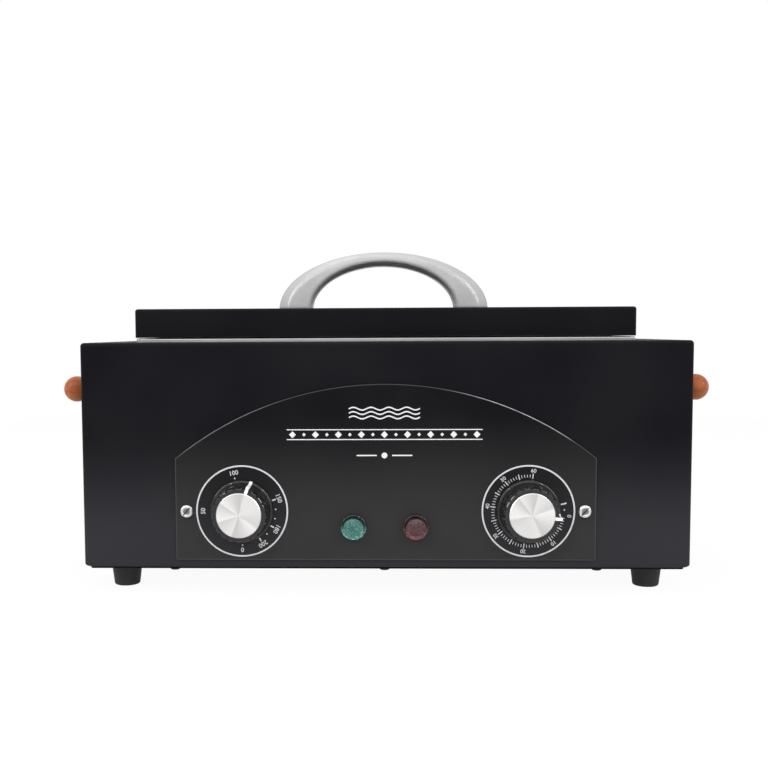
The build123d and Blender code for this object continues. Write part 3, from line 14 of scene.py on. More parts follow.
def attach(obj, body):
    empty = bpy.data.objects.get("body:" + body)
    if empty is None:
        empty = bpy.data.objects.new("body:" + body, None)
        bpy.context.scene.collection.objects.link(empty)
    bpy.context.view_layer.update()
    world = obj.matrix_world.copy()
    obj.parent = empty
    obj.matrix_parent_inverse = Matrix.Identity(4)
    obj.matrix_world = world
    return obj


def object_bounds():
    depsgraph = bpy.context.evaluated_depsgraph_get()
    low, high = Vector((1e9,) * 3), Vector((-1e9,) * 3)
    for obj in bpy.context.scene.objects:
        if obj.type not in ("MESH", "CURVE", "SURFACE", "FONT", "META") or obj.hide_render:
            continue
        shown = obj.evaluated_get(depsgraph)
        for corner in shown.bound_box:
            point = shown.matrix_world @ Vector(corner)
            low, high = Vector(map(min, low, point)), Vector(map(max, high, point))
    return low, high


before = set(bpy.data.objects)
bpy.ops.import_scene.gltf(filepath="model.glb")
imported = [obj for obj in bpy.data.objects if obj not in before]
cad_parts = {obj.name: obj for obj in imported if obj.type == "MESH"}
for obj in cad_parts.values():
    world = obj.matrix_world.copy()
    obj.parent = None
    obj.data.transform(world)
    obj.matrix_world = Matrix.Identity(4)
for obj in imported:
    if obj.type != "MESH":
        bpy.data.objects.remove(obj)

CAD_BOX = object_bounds()
MM = 0.001
PLATE_FRONT = -83.7
PRINT_SINK = 0.01
PRINT_PROUD = 0.04
DIGIT_SHARE = 0.7
DIGIT_WEIGHT = 0.035
PICTURE_SIZE = 768.0
SENSOR_WIDTH = 36.0
MINUTE_DEGREES = 4.5
TIMER_START = 97.0
BRUSH_STRETCH = (6.0, 900.0, 900.0)
MIDDLE = (0.3, 0.7)
ROUND_SAMPLES = 8
WEAR_SAMPLES = 4
RING_STEPS = 144
DOT_STEPS = 20

Colour = tuple[float, float, float, float]
Point = tuple[float, float]
Spot = tuple[float, float, float]
Tick = tuple[float, float, float, float]
Loop = list[bmesh.types.BMVert]
Node = bpy.types.Node
Socket = bpy.types.NodeSocket
Sockets = dict[str, Socket]
Feed = Union[Socket, float, tuple]
Inputs = dict[Union[str, int], Feed]

LOG = logging.getLogger("sterilizer")


def grey(level: float) -> Colour:
    """Returns an opaque neutral colour of one linear level."""
    return (level, level, level, 1.0)


class Body(Enum):
    """The moving body that the added pieces ride on."""

    CASE = "case"


class Op(Enum):
    """What a math node does with its values."""

    ADD = auto()
    SUBTRACT = auto()
    MULTIPLY = auto()
    MAXIMUM = auto()
    ABSOLUTE = auto()
    SQRT = auto()
    FRACT = auto()
    SINE = auto()
    COSINE = auto()
    ARCTAN2 = auto()
    LESS_THAN = auto()
    GREATER_THAN = auto()


class Graph:
    """Places and joins the nodes of one material or group."""

    def __init__(self, tree: bpy.types.NodeTree) -> None:
        """Keeps the tree that the nodes go into."""
        self.tree = tree

    def feed(self, node: Node, inputs: Inputs) -> None:
        """Links a node's inputs to other sockets, or sets their values.

        Args:
            node: The node.
            inputs: Output sockets or plain values, by the inputs' names or places.
        """
        for key, value in inputs.items():
            if isinstance(value, Socket):
                self.tree.links.new(value, node.inputs[key])
            else:
                node.inputs[key].default_value = value

    def add(self, kind: str, inputs: Inputs | None = None, **settings: object) -> Node:
        """Adds one node.

        Args:
            kind: The node's type name.
            inputs: Values or sockets for its inputs, by name or place.
            **settings: Properties of the node itself.

        Returns:
            The new node.
        """
        node = self.tree.nodes.new(kind)
        for key, value in settings.items():
            setattr(node, key, value)
        self.feed(node, inputs or {})
        return node

    def calc(self, op: Op, first: Feed, second: Feed = 0.0) -> Socket:
        """Adds a math node and returns its result."""
        return self.add("ShaderNodeMath", {0: first, 1: second}, operation=op.name).outputs[0]

    def plus(self, first: Feed, second: Feed) -> Socket:
        """Returns the sum of two values."""
        return self.calc(Op.ADD, first, second)

    def times(self, first: Feed, second: Feed) -> Socket:
        """Returns the product of two values."""
        return self.calc(Op.MULTIPLY, first, second)

    def spread(
        self, value: Feed, low: Feed, high: Feed, to_low: Feed = 0.0, to_high: Feed = 1.0
    ) -> Socket:
        """Maps one range onto another, clamped.

        Args:
            value: The value to map.
            low: The start of its range.
            high: The end of its range.
            to_low: What the start becomes.
            to_high: What the end becomes.

        Returns:
            The mapped value's socket.
        """
        names = ("Value", "From Min", "From Max", "To Min", "To Max")
        inputs = dict(zip(names, (value, low, high, to_low, to_high)))
        return self.add("ShaderNodeMapRange", inputs).outputs[0]

    def vary(self, mask: Feed, middle: float, below: float, above: float) -> Socket:
        """Returns values from a little below to a little above a middle one, by a mask."""
        return self.spread(mask, 0.0, 1.0, middle - below, middle + above)

    def ease(self, value: Feed, low: Feed, high: Feed) -> Socket:
        """Returns a value's way from low to high as 0 to 1, with soft ends."""
        inputs = {"Value": value, "From Min": low, "From Max": high}
        return self.add("ShaderNodeMapRange", inputs, interpolation_type="SMOOTHSTEP").outputs[0]

    def blend(self, share: Feed, first: Feed, second: Feed) -> Socket:
        """Returns a mix of two colours, the second by its share."""
        inputs = {0: share, 6: first, 7: second}
        return self.add("ShaderNodeMix", inputs, data_type="RGBA").outputs[2]

    def spot(self) -> Socket:
        """Returns the place in the part's own coordinates, in metres."""
        return self.add("ShaderNodeTexCoord").outputs["Object"]

    def split(self, vector: Feed) -> bpy.types.NodeOutputs:
        """Returns a vector's X, Y and Z."""
        return self.add("ShaderNodeSeparateXYZ", {"Vector": vector}).outputs

    def noise(self, scale: Feed, detail: float = 2.0, stretch: Spot | None = None) -> Socket:
        """Adds a noise fixed to the part.

        Args:
            scale: Cells per metre, or a factor on the stretch.
            detail: How many finer layers it has.
            stretch: Cells per metre along each axis, where they differ.

        Returns:
            The noise value's socket.
        """
        place = self.spot()
        if stretch:
            place = self.add("ShaderNodeMapping", {"Vector": place, "Scale": stretch}).outputs[0]
        inputs = {"Vector": place, "Scale": scale, "Detail": detail}
        return self.add("ShaderNodeTexNoise", inputs).outputs[0]

    def bump(self, height: Feed, distance: float, rounding: float = 0.0) -> Socket:
        """Adds a bump node over edges that may be rounded.

        Args:
            height: The height mask.
            distance: The height of a full mask in metres.
            rounding: The radius that edges seem to have, in metres.

        Returns:
            The bent normal's socket.
        """
        inputs = {"Height": height, "Distance": distance}
        if rounding:
            soft = self.add("ShaderNodeBevel", {"Radius": rounding}, samples=ROUND_SAMPLES)
            inputs["Normal"] = soft.outputs[0]
        return self.add("ShaderNodeBump", inputs).outputs[0]


@dataclass(frozen=True)
class Effect:
    """A shader node group that finishes share, built once and placed with their own values."""

    name: str
    inputs: dict[str, float]
    outputs: tuple[str, ...]
    fill: Callable[[Graph, Sockets], Sockets]

    def build(self) -> bpy.types.NodeTree:
        """Builds the group.

        Returns:
            Its node tree.
        """
        tree = bpy.data.node_groups.new(self.name, "ShaderNodeTree")
        number = "NodeSocketFloat"
        for key, value in self.inputs.items():
            socket = tree.interface.new_socket(key, in_out="INPUT", socket_type=number)
            socket.default_value = value
        for key in self.outputs:
            tree.interface.new_socket(key, in_out="OUTPUT", socket_type=number)
        graph = Graph(tree)
        entry = graph.add("NodeGroupInput")
        results = self.fill(graph, {key: entry.outputs[key] for key in self.inputs})
        graph.add("NodeGroupOutput", results)
        return tree

    def place(self, graph: Graph, **values: float) -> bpy.types.NodeOutputs:
        """Places the group in a material, and returns its outputs there."""
        tree = bpy.data.node_groups.get(self.name) or self.build()
        return graph.add("ShaderNodeGroup", values, node_tree=tree).outputs


def fill_peel(graph: Graph, entry: Sockets) -> Sockets:
    """Makes the pebbled skin of a baked coat, with a finer grit over its pebbles.

    Args:
        graph: The group's nodes.
        entry: Its input, Grit.

    Returns:
        Its outputs, Height and Tone.
    """
    pebble_cells, grit_cells, cloud_cells = 420.0, 1900.0, 14.0
    grit = graph.times(graph.noise(grit_cells, 1.0), entry["Grit"])
    tone = graph.spread(graph.noise(cloud_cells, 3.0), 0.35, 0.65)
    return {"Height": graph.plus(graph.noise(pebble_cells), grit), "Tone": tone}


def fill_rise(graph: Graph, entry: Sockets) -> Sockets:
    """Makes the share of the way up from the height Low to the height High."""
    return {"Share": graph.ease(graph.split(graph.spot())["Z"], entry["Low"], entry["High"])}


def fill_wear(graph: Graph, entry: Sockets) -> Sockets:
    """Makes a patchy edge mask, where a rounded normal leaves the true one, for rubbed wear and
    painted highlights.

    Args:
        graph: The group's nodes.
        entry: Its input, Radius.

    Returns:
        Its output, Edge.
    """
    patch_cells = 160.0
    rounded = graph.add("ShaderNodeBevel", {"Radius": entry["Radius"]}, samples=WEAR_SAMPLES)
    true = graph.add("ShaderNodeNewGeometry").outputs["Normal"]
    match = graph.add(
        "ShaderNodeVectorMath", {0: rounded.outputs[0], 1: true}, operation="DOT_PRODUCT")
    edge = graph.spread(graph.calc(Op.SUBTRACT, 1.0, match.outputs["Value"]), 0.02, 0.25)
    patches = graph.spread(graph.noise(patch_cells, 3.0), 0.38, 0.62, 0.35, 1.0)
    return {"Edge": graph.times(edge, patches)}


def fill_dust(graph: Graph, entry: Sockets) -> Sockets:
    """Makes settled dust on faces that look up, in patches and specks.

    Args:
        graph: The group's nodes.
        entry: Its input, Amount.

    Returns:
        Its output, Dust.
    """
    patch_cells, speck_cells = 38.0, 2600.0
    normal = graph.add("ShaderNodeNewGeometry").outputs["Normal"]
    facing = graph.spread(graph.split(normal)["Z"], 0.3, 1.0)
    patches = graph.spread(graph.noise(patch_cells, 5.0), 0.3, 0.8)
    specks = graph.spread(graph.noise(speck_cells, 0.0), 0.62, 0.72)
    share = graph.times(graph.plus(patches, specks), entry["Amount"])
    return {"Dust": graph.times(facing, share)}


def fill_grain(graph: Graph, entry: Sockets) -> Sockets:
    """Makes a fine even grain of some Scale as Height, and a slow change of Tone."""
    tone = graph.spread(graph.noise(55.0, 3.0), *MIDDLE)
    return {"Height": graph.noise(entry["Scale"]), "Tone": tone}


def fill_brush(graph: Graph, entry: Sockets) -> Sockets:
    """Makes the lines of a brushed sheet and the slow bands that they lie in.

    Args:
        graph: The group's nodes.
        entry: Its inputs, Lines and Bands.

    Returns:
        Its outputs, Height and Tone.
    """
    bands = graph.noise(entry["Bands"], 2.0, BRUSH_STRETCH)
    lines = graph.noise(entry["Lines"], 4.0, BRUSH_STRETCH)
    return {"Height": lines, "Tone": graph.spread(bands, *MIDDLE)}


def fill_dial(graph: Graph, entry: Sockets) -> Sockets:
    """Measures from a dial's centre, in the plane of the plate.

    Args:
        graph: The group's nodes.
        entry: Its inputs, Centre X, Centre Z and Mark, the clock angle of a mark.

    Returns:
        Its outputs, Radius and Turn about the centre, and Along and Across the mark.
    """
    parts = graph.split(graph.spot())
    right = graph.calc(Op.SUBTRACT, parts["X"], entry["Centre X"])
    up = graph.calc(Op.SUBTRACT, parts["Z"], entry["Centre Z"])
    squares = graph.plus(graph.times(right, right), graph.times(up, up))
    sine = graph.calc(Op.SINE, entry["Mark"])
    cosine = graph.calc(Op.COSINE, entry["Mark"])
    across = graph.calc(Op.SUBTRACT, graph.times(right, cosine), graph.times(up, sine))
    return {
        "Radius": graph.calc(Op.SQRT, squares),
        "Turn": graph.calc(Op.ARCTAN2, right, up),
        "Along": graph.plus(graph.times(right, sine), graph.times(up, cosine)),
        "Across": graph.calc(Op.ABSOLUTE, across),
    }


PEEL = Effect("orange_peel", {"Grit": 0.4}, ("Height", "Tone"), fill_peel)
RISE = Effect("rise", {"Low": 0.0, "High": 1.0}, ("Share",), fill_rise)
EDGE_WEAR_AND_SHEEN = Effect("edge_wear_and_sheen", {"Radius": 0.0006}, ("Edge",), fill_wear)
DUST = Effect("dust", {"Amount": 0.1}, ("Dust",), fill_dust)
GRAIN = Effect("grain", {"Scale": 1500.0}, ("Height", "Tone"), fill_grain)
BRUSH = Effect("brush_lines", {"Lines": 2.2, "Bands": 0.25}, ("Height", "Tone"), fill_brush)
DIAL_PLACE = Effect(
    "dial_place", {"Centre X": 0.0, "Centre Z": 0.0, "Mark": 0.0},
    ("Radius", "Turn", "Along", "Across"), fill_dial)


def about_dial(graph: Graph, centre: Point, mark: float = 0.0) -> bpy.types.NodeOutputs:
    """Places the measures of a dial, its centre in millimetres and its mark in degrees."""
    values = {"Centre X": centre[0] * MM, "Centre Z": centre[1] * MM, "Mark": math.radians(mark)}
    return DIAL_PLACE.place(graph, **values)


class Finish:
    """A finish that makes its material at its first use."""

    name: str
    made: dict[str, bpy.types.Material] = {}

    def material(self) -> bpy.types.Material:
        """Returns the finish's material.

        Returns:
            The material, made once for each name.
        """
        if self.name not in Finish.made:
            made = bpy.data.materials.new(self.name)
            made.use_nodes = True
            made.node_tree.nodes.clear()
            graph = Graph(made.node_tree)
            shader = graph.add("ShaderNodeBsdfPrincipled", self.shade(graph))
            graph.add("ShaderNodeOutputMaterial", {"Surface": shader.outputs[0]})
            Finish.made[self.name] = made
        return Finish.made[self.name]

    def shade(self, graph: Graph) -> Inputs:
        """Makes what the surface shader takes, by its inputs' names."""
        raise NotImplementedError

    def dress(self, *nodes: str) -> None:
        """Puts the finish on CAD nodes.

        Args:
            *nodes: The nodes' names.
        """
        for name in nodes:
            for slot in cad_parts[name].material_slots:
                slot.material = self.material()


@dataclass(frozen=True)
class BakedCoat(Finish):
    """A matt baked coat, painted paler low down as light, with pebbled skin, worn edges and dust.
    """

    name: str
    floor_lit_colour: Colour
    top_shade_colour: Colour
    low: float = 0.026
    high: float = 0.092
    roughness: float = 0.5
    shine: float = 0.045
    peel: float = 0.00002
    rounding: float = 0.0009
    wear: float = 0.05
    wear_reach: float = 0.0011
    dusting: float = 0.012
    clouding: float = 0.12
    cloud: Colour = grey(0.03)
    bare: Colour = (0.30, 0.30, 0.32, 1.0)
    dust: Colour = (0.4, 0.38, 0.35, 1.0)

    def shade(self, graph: Graph) -> Inputs:
        """Mixes the coat's painted light, paler low down, with its tone, wear and dust.

        Args:
            graph: The material's nodes.

        Returns:
            What the shader takes.
        """
        # Painted light and shade: paler low down for light from the floor, darker towards the top.
        share = RISE.place(graph, Low=self.low, High=self.high)["Share"]
        peel = PEEL.place(graph)
        coat = graph.blend(share, self.floor_lit_colour, self.top_shade_colour)
        clouds = graph.spread(peel["Tone"], 0.0, 1.0, 0.0, self.clouding)
        # Rubbed edges; on the case, with its high wear, also painted highlights along its bends.
        edge = EDGE_WEAR_AND_SHEEN.place(graph, Radius=self.wear_reach)["Edge"]
        worn = graph.blend(
            graph.times(edge, self.wear), graph.blend(clouds, coat, self.cloud), self.bare)
        dust = DUST.place(graph, Amount=self.dusting)["Dust"]
        return {
            "Base Color": graph.blend(dust, worn, self.dust),
            "Roughness": graph.vary(peel["Tone"], self.roughness, 0.04, 0.05),
            "Normal": graph.bump(peel["Height"], self.peel, self.rounding),
            "Specular IOR Level": self.shine,
        }


@dataclass(frozen=True)
class BrushedSheet(Finish):
    """A bare sheet metal with fine lines across the part."""

    name: str
    colour: Colour
    dull: Colour
    roughness: float = 0.28
    line_height: float = 0.000006

    def shade(self, graph: Graph) -> Inputs:
        """Varies tone, gloss and height along the lines.

        Args:
            graph: The material's nodes.

        Returns:
            What the shader takes.
        """
        lines = BRUSH.place(graph)
        stain = GRAIN.place(graph)["Tone"]
        tone = graph.times(graph.plus(lines["Tone"], stain), 0.4)
        smooth, rough = self.roughness - 0.05, self.roughness + 0.08
        return {
            "Base Color": graph.blend(tone, self.colour, self.dull),
            "Roughness": graph.spread(lines["Height"], *MIDDLE, smooth, rough),
            "Normal": graph.bump(lines["Height"], self.line_height),
            "Metallic": 1.0,
        }


@dataclass(frozen=True)
class GrainedMetal(Finish):
    """A cast, plated, rolled or lacquered metal with a fine grain and rubbed edges."""

    name: str
    colour: Colour
    dull: Colour
    roughness: float = 0.35
    metallic: float = 1.0
    grain_scale: float = 1500.0
    grain_height: float = 0.000008
    edge_lift: float = 0.2
    rounding: float = 0.0
    wear_reach: float = 0.0004
    rubbed: Colour = grey(0.9)

    def shade(self, graph: Graph) -> Inputs:
        """Varies tone and gloss, and brightens the edges.

        Args:
            graph: The material's nodes.

        Returns:
            What the shader takes.
        """
        grain = GRAIN.place(graph, Scale=self.grain_scale)
        edge = EDGE_WEAR_AND_SHEEN.place(graph, Radius=self.wear_reach)["Edge"]
        speck = graph.spread(grain["Height"], *MIDDLE, 0.0, 0.5)
        tone = graph.plus(graph.times(grain["Tone"], 0.5), speck)
        body = graph.blend(tone, self.colour, self.dull)
        return {
            "Base Color": graph.blend(graph.times(edge, self.edge_lift), body, self.rubbed),
            "Roughness": graph.vary(grain["Tone"], self.roughness, 0.05, 0.06),
            "Normal": graph.bump(grain["Height"], self.grain_height, self.rounding),
            "Metallic": self.metallic,
        }


@dataclass(frozen=True)
class Moulding(Finish):
    """A moulded plastic, rubber, ceramic or felted fibre."""

    name: str
    colour: Colour
    mottle: Colour
    roughness: float = 0.45
    shine: float = 0.5
    grain_scale: float = 900.0
    grain_height: float = 0.00001
    dusting: float = 0.02
    dust: Colour = (0.42, 0.4, 0.37, 1.0)

    def shade(self, graph: Graph) -> Inputs:
        """Mottles the colour and roughens the skin.

        Args:
            graph: The material's nodes.

        Returns:
            What the shader takes.
        """
        grain = GRAIN.place(graph, Scale=self.grain_scale)
        speck = graph.spread(grain["Height"], 0.25, 0.75, 0.0, 0.5)
        tone = graph.plus(graph.times(grain["Tone"], 0.5), speck)
        body = graph.blend(tone, self.colour, self.mottle)
        dust = DUST.place(graph, Amount=self.dusting)["Dust"]
        return {
            "Base Color": graph.blend(dust, body, self.dust),
            "Roughness": graph.vary(grain["Tone"], self.roughness, 0.04, 0.06),
            "Normal": graph.bump(grain["Height"], self.grain_height),
            "Specular IOR Level": self.shine,
        }


@dataclass(frozen=True)
class KnobMoulding(Finish):
    """Glossy black phenolic with the pointer's rib filled in white."""

    name: str
    centre: Point
    mark_degrees: float
    half_width: float = 0.00085
    start: float = 0.0123
    smoothest: float = 0.10
    dullest: float = 0.17
    paint_roughness: float = 0.5
    grain_scale: float = 700.0
    grain_height: float = 0.000004
    wear_reach: float = 0.0003
    wear: float = 0.06
    shine: float = 0.42
    black: Colour = grey(0.008)
    streak: Colour = grey(0.024)
    rubbed: Colour = grey(0.5)
    white: Colour = grey(0.86)
    stained: Colour = grey(0.76)

    def shade(self, graph: Graph) -> Inputs:
        """Paints the rib and leaves the rest glossy.

        Args:
            graph: The material's nodes.

        Returns:
            What the shader takes.
        """
        place = about_dial(graph, self.centre, self.mark_degrees)
        beside = graph.calc(Op.LESS_THAN, place["Across"], self.half_width)
        beyond = graph.calc(Op.GREATER_THAN, place["Along"], self.start)
        paint = graph.times(beside, beyond)
        grain = GRAIN.place(graph, Scale=self.grain_scale)
        edge = EDGE_WEAR_AND_SHEEN.place(graph, Radius=self.wear_reach)["Edge"]
        black = graph.blend(graph.times(grain["Tone"], 0.3), self.black, self.streak)
        rubbed = graph.blend(graph.times(edge, self.wear), black, self.rubbed)
        white = graph.blend(graph.times(grain["Tone"], 0.4), self.white, self.stained)
        smooth = graph.spread(grain["Tone"], 0.0, 1.0, self.smoothest, self.dullest)
        return {
            "Base Color": graph.blend(paint, rubbed, white),
            "Roughness": graph.calc(Op.MAXIMUM, smooth, graph.times(paint, self.paint_roughness)),
            "Normal": graph.bump(grain["Height"], self.grain_height),
            "Specular IOR Level": self.shine,
        }


@dataclass(frozen=True)
class SpunCap(Finish):
    """Aluminium turned on a lathe, with fine rings and painted radial fans of reflected light."""

    name: str
    centre: Point
    ring_pitch: float = 0.00032
    ring_height: float = 0.000004
    fans: float = 5.0
    phase: float = 0.6
    swing: float = 0.42
    pale: Colour = (0.86, 0.845, 0.835, 1.0)
    shaded: Colour = (0.57, 0.56, 0.555, 1.0)
    smoothest: float = 0.26
    dullest: float = 0.36
    streak: float = 0.75
    cloud_cells: float = 90.0
    speck_cells: float = 2400.0
    painted_fan_share: float = 0.8
    speck_share: float = 0.16
    ring_share: float = 0.1

    def shade(self, graph: Graph) -> Inputs:
        """Cuts the rings, sets the shine along them and paints radial fans of reflected light.

        Args:
            graph: The material's nodes.

        Returns:
            What the shader takes.
        """
        place = about_dial(graph, self.centre)
        rings = graph.calc(Op.SINE, graph.times(place["Radius"], math.tau / self.ring_pitch))
        # Painted reflection: radial fans of light and shade are painted between the pale and shaded
        # colours.
        drift = graph.calc(Op.SINE, graph.plus(place["Turn"], self.phase * 3.0))
        turn = graph.plus(place["Turn"], graph.times(drift, self.swing))
        fade = graph.calc(Op.FRACT, graph.times(graph.plus(turn, self.phase), self.fans / math.tau))
        soft = graph.times(fade, graph.spread(fade, 0.9, 1.0, 1.0, 0.25))
        speck = graph.spread(graph.noise(self.speck_cells, 1.0), *MIDDLE, 0.0, self.speck_share)
        groove = graph.spread(rings, -1.0, 1.0, 0.0, self.ring_share)
        tone = graph.plus(graph.times(soft, self.painted_fan_share), graph.plus(speck, groove))
        clouds = graph.noise(self.cloud_cells)
        along = graph.add("ShaderNodeTangent", direction_type="RADIAL", axis="Y")
        return {
            "Base Color": graph.blend(tone, self.pale, self.shaded),
            "Roughness": graph.spread(clouds, *MIDDLE, self.smoothest, self.dullest),
            "Normal": graph.bump(rings, self.ring_height),
            "Tangent": along.outputs[0],
            "Metallic": 1.0,
            "Anisotropic": self.streak,
        }


@dataclass(frozen=True)
class TintedLens(Finish):
    """A tinted lamp cap with a crystal-cut face, painted shade over its top, painted glints at its
    foot.
    """

    name: str
    centre: Point
    colour: Colour
    deep: Colour
    glint_colour: Colour
    face_radius: float = 0.0057
    cut_cells: float = 900.0
    cut_height: float = 0.00012
    shadow: float = 0.1
    shade_heights: Point = (-0.003, 0.003)
    rim_heights: Point = (0.0005, -0.0042)
    rim_reach: Point = (0.62, 0.9)
    clearness: float = 0.15
    bending: float = 1.49

    def shade(self, graph: Graph) -> Inputs:
        """Tints the cut face, paints shade over its upper side and paints glints on its lower rim.

        Args:
            graph: The material's nodes.

        Returns:
            What the shader takes.
        """
        place = about_dial(graph, self.centre)
        radius, rise = place["Radius"], place["Along"]
        inputs = {"Vector": graph.spot(), "Scale": self.cut_cells}
        cells = graph.add("ShaderNodeTexVoronoi", inputs).outputs["Distance"]
        face = graph.blend(graph.spread(cells, 0.1, 0.75), self.colour, self.deep)
        # Painted shade: the cap's upper wall is painted dim, as the shade over its top.
        wall = graph.calc(Op.GREATER_THAN, radius, self.face_radius * 1.01)
        over = graph.times(wall, graph.ease(rise, *self.shade_heights))
        dim = tuple(level * self.shadow for level in self.deep[:3]) + (1.0,)
        # Painted glints: bright sparks are painted on the cut cells of the lower rim.
        outer = graph.ease(radius, *(self.face_radius * share for share in self.rim_reach))
        rim = graph.times(outer, graph.ease(rise, *self.rim_heights))
        painted_glints = graph.times(rim, graph.spread(cells, 0.55, 0.2, 0.15, 1.0))
        return {
            "Base Color": graph.blend(painted_glints, graph.blend(over, face, dim), self.glint_colour),
            "Roughness": graph.spread(cells, 0.0, 1.0, 0.08, 0.16),
            "Normal": graph.bump(cells, self.cut_height),
            "Transmission Weight": self.clearness,
            "IOR": self.bending,
        }


@dataclass(frozen=True)
class SlottedHead(Finish):
    """A bright screw head with painted shade in its recess and slot, the same on both sides of the
    plate.
    """

    name: str
    centre: Point
    recess: float = 0.0019
    recess_depth: float = 0.0002
    slot_degrees: float = 40.0
    slot_half: float = 0.0003
    bright: Colour = grey(0.80)
    dull: Colour = grey(0.62)
    recess_shade: Colour = grey(0.045)

    def shade(self, graph: Graph) -> Inputs:
        """Paints shade into the recess and the slot inside a bright ring, and dents them.

        Args:
            graph: The material's nodes.

        Returns:
            What the shader takes.
        """
        # Painted shade: the recess and slot are painted dark; the same mask also dents them.
        masks = []
        for side in (-1.0, 1.0):
            centre = (side * self.centre[0], self.centre[1])
            place = about_dial(graph, centre, self.slot_degrees)
            inside = graph.spread(place["Radius"], self.recess * 1.15, self.recess * 0.85)
            slot = graph.times(
                graph.calc(Op.LESS_THAN, place["Across"], self.slot_half),
                graph.calc(Op.LESS_THAN, place["Radius"], self.recess * 1.5))
            masks.append(graph.calc(Op.MAXIMUM, graph.times(inside, 0.75), slot))
        dark = graph.calc(Op.MAXIMUM, *masks)
        tone = GRAIN.place(graph)["Tone"]
        bright = graph.blend(tone, self.bright, self.dull)
        return {
            "Base Color": graph.blend(dark, bright, self.recess_shade),
            "Roughness": graph.spread(tone, 0.0, 1.0, 0.22, 0.32),
            "Normal": graph.bump(dark, -self.recess_depth),
            "Metallic": 1.0,
        }


@dataclass(frozen=True)
class CutEdge(Finish):
    """The plate's bare cut edge, with a painted highlight over the arch's right shoulder."""

    name: str
    dim: Colour = (0.040, 0.040, 0.043, 1.0)
    lit: Colour = (0.42, 0.42, 0.43, 1.0)
    right_start: Point = (0.025, 0.072)
    right_end: Point = (0.106, 0.094)
    left_start: Point = (-0.050, -0.080)
    left_share: float = 0.3
    shoulder: Point = (0.074, 0.084)
    patch_cells: float = 130.0
    grain_cells: float = 900.0
    grain_height: float = 0.000004
    shine: float = 0.2

    def shade(self, graph: Graph) -> Inputs:
        """Paints a highlight on the edge, strongest over the right shoulder, weaker on the left.

        Args:
            graph: The material's nodes.

        Returns:
            What the shader takes.
        """
        parts = graph.split(graph.spot())
        # Painted highlight: light over the arch's upper right, and more weakly on its upper left.
        right = graph.ease(parts["X"], *self.right_start)
        ending = graph.ease(parts["X"], *self.right_end)
        left = graph.times(graph.ease(parts["X"], *self.left_start), self.left_share)
        high = graph.ease(parts["Z"], *self.shoulder)
        painted_highlight = graph.times(graph.plus(graph.times(right, ending), left), high)
        uneven = graph.spread(graph.noise(self.patch_cells, 3.0), *MIDDLE, 0.45, 1.0)
        return {
            "Base Color": graph.blend(graph.times(painted_highlight, uneven), self.dim, self.lit),
            "Roughness": graph.spread(uneven, 0.0, 1.0, 0.45, 0.35),
            "Normal": graph.bump(graph.noise(self.grain_cells), self.grain_height),
            "Specular IOR Level": self.shine,
        }


@dataclass(frozen=True)
class TurnedWood(Finish):
    """Oiled hardwood turned to a ball, with grain along its stem."""

    name: str
    pale: Colour = (0.38, 0.108, 0.028, 1.0)
    dark: Colour = (0.24, 0.060, 0.018, 1.0)
    pore: Colour = (0.09, 0.028, 0.012, 1.0)
    band_cells: Spot = (60.0, 520.0, 340.0)
    pore_cells: Spot = (220.0, 3200.0, 3200.0)
    pore_depth: float = 0.00003
    shine: float = 0.2

    def shade(self, graph: Graph) -> Inputs:
        """Mixes growth bands, pores and a slow change of tone.

        Args:
            graph: The material's nodes.

        Returns:
            What the shader takes.
        """
        bands = graph.noise(1.0, 3.0, self.band_cells)
        pores = graph.spread(graph.noise(1.0, 2.0, self.pore_cells), 0.58, 0.70)
        wood = graph.blend(graph.spread(bands, 0.32, 0.68), self.pale, self.dark)
        height = graph.calc(Op.SUBTRACT, graph.times(bands, 0.3), pores)
        return {
            "Base Color": graph.blend(graph.times(pores, 0.6), wood, self.pore),
            "Roughness": graph.spread(bands, *MIDDLE, 0.3, 0.42),
            "Normal": graph.bump(height, self.pore_depth),
            "Specular IOR Level": self.shine,
        }


@dataclass(frozen=True)
class PrintInk(Finish):
    """Screen printed ink, slightly thin in places."""

    name: str
    colour: Colour = (0.70, 0.70, 0.71, 1.0)
    thin: Colour = (0.42, 0.42, 0.43, 1.0)
    roughness: float = 0.5
    grain_scale: float = 2600.0
    grain_height: float = 0.000004

    def shade(self, graph: Graph) -> Inputs:
        """Thins the ink with a fine noise.

        Args:
            graph: The material's nodes.

        Returns:
            What the shader takes.
        """
        grain = GRAIN.place(graph, Scale=self.grain_scale)
        tone = graph.spread(grain["Height"], 0.35, 0.75, 0.0, 0.6)
        return {
            "Base Color": graph.blend(tone, self.colour, self.thin),
            "Roughness": graph.vary(grain["Tone"], self.roughness, 0.05, 0.05),
            "Normal": graph.bump(grain["Height"], self.grain_height),
        }


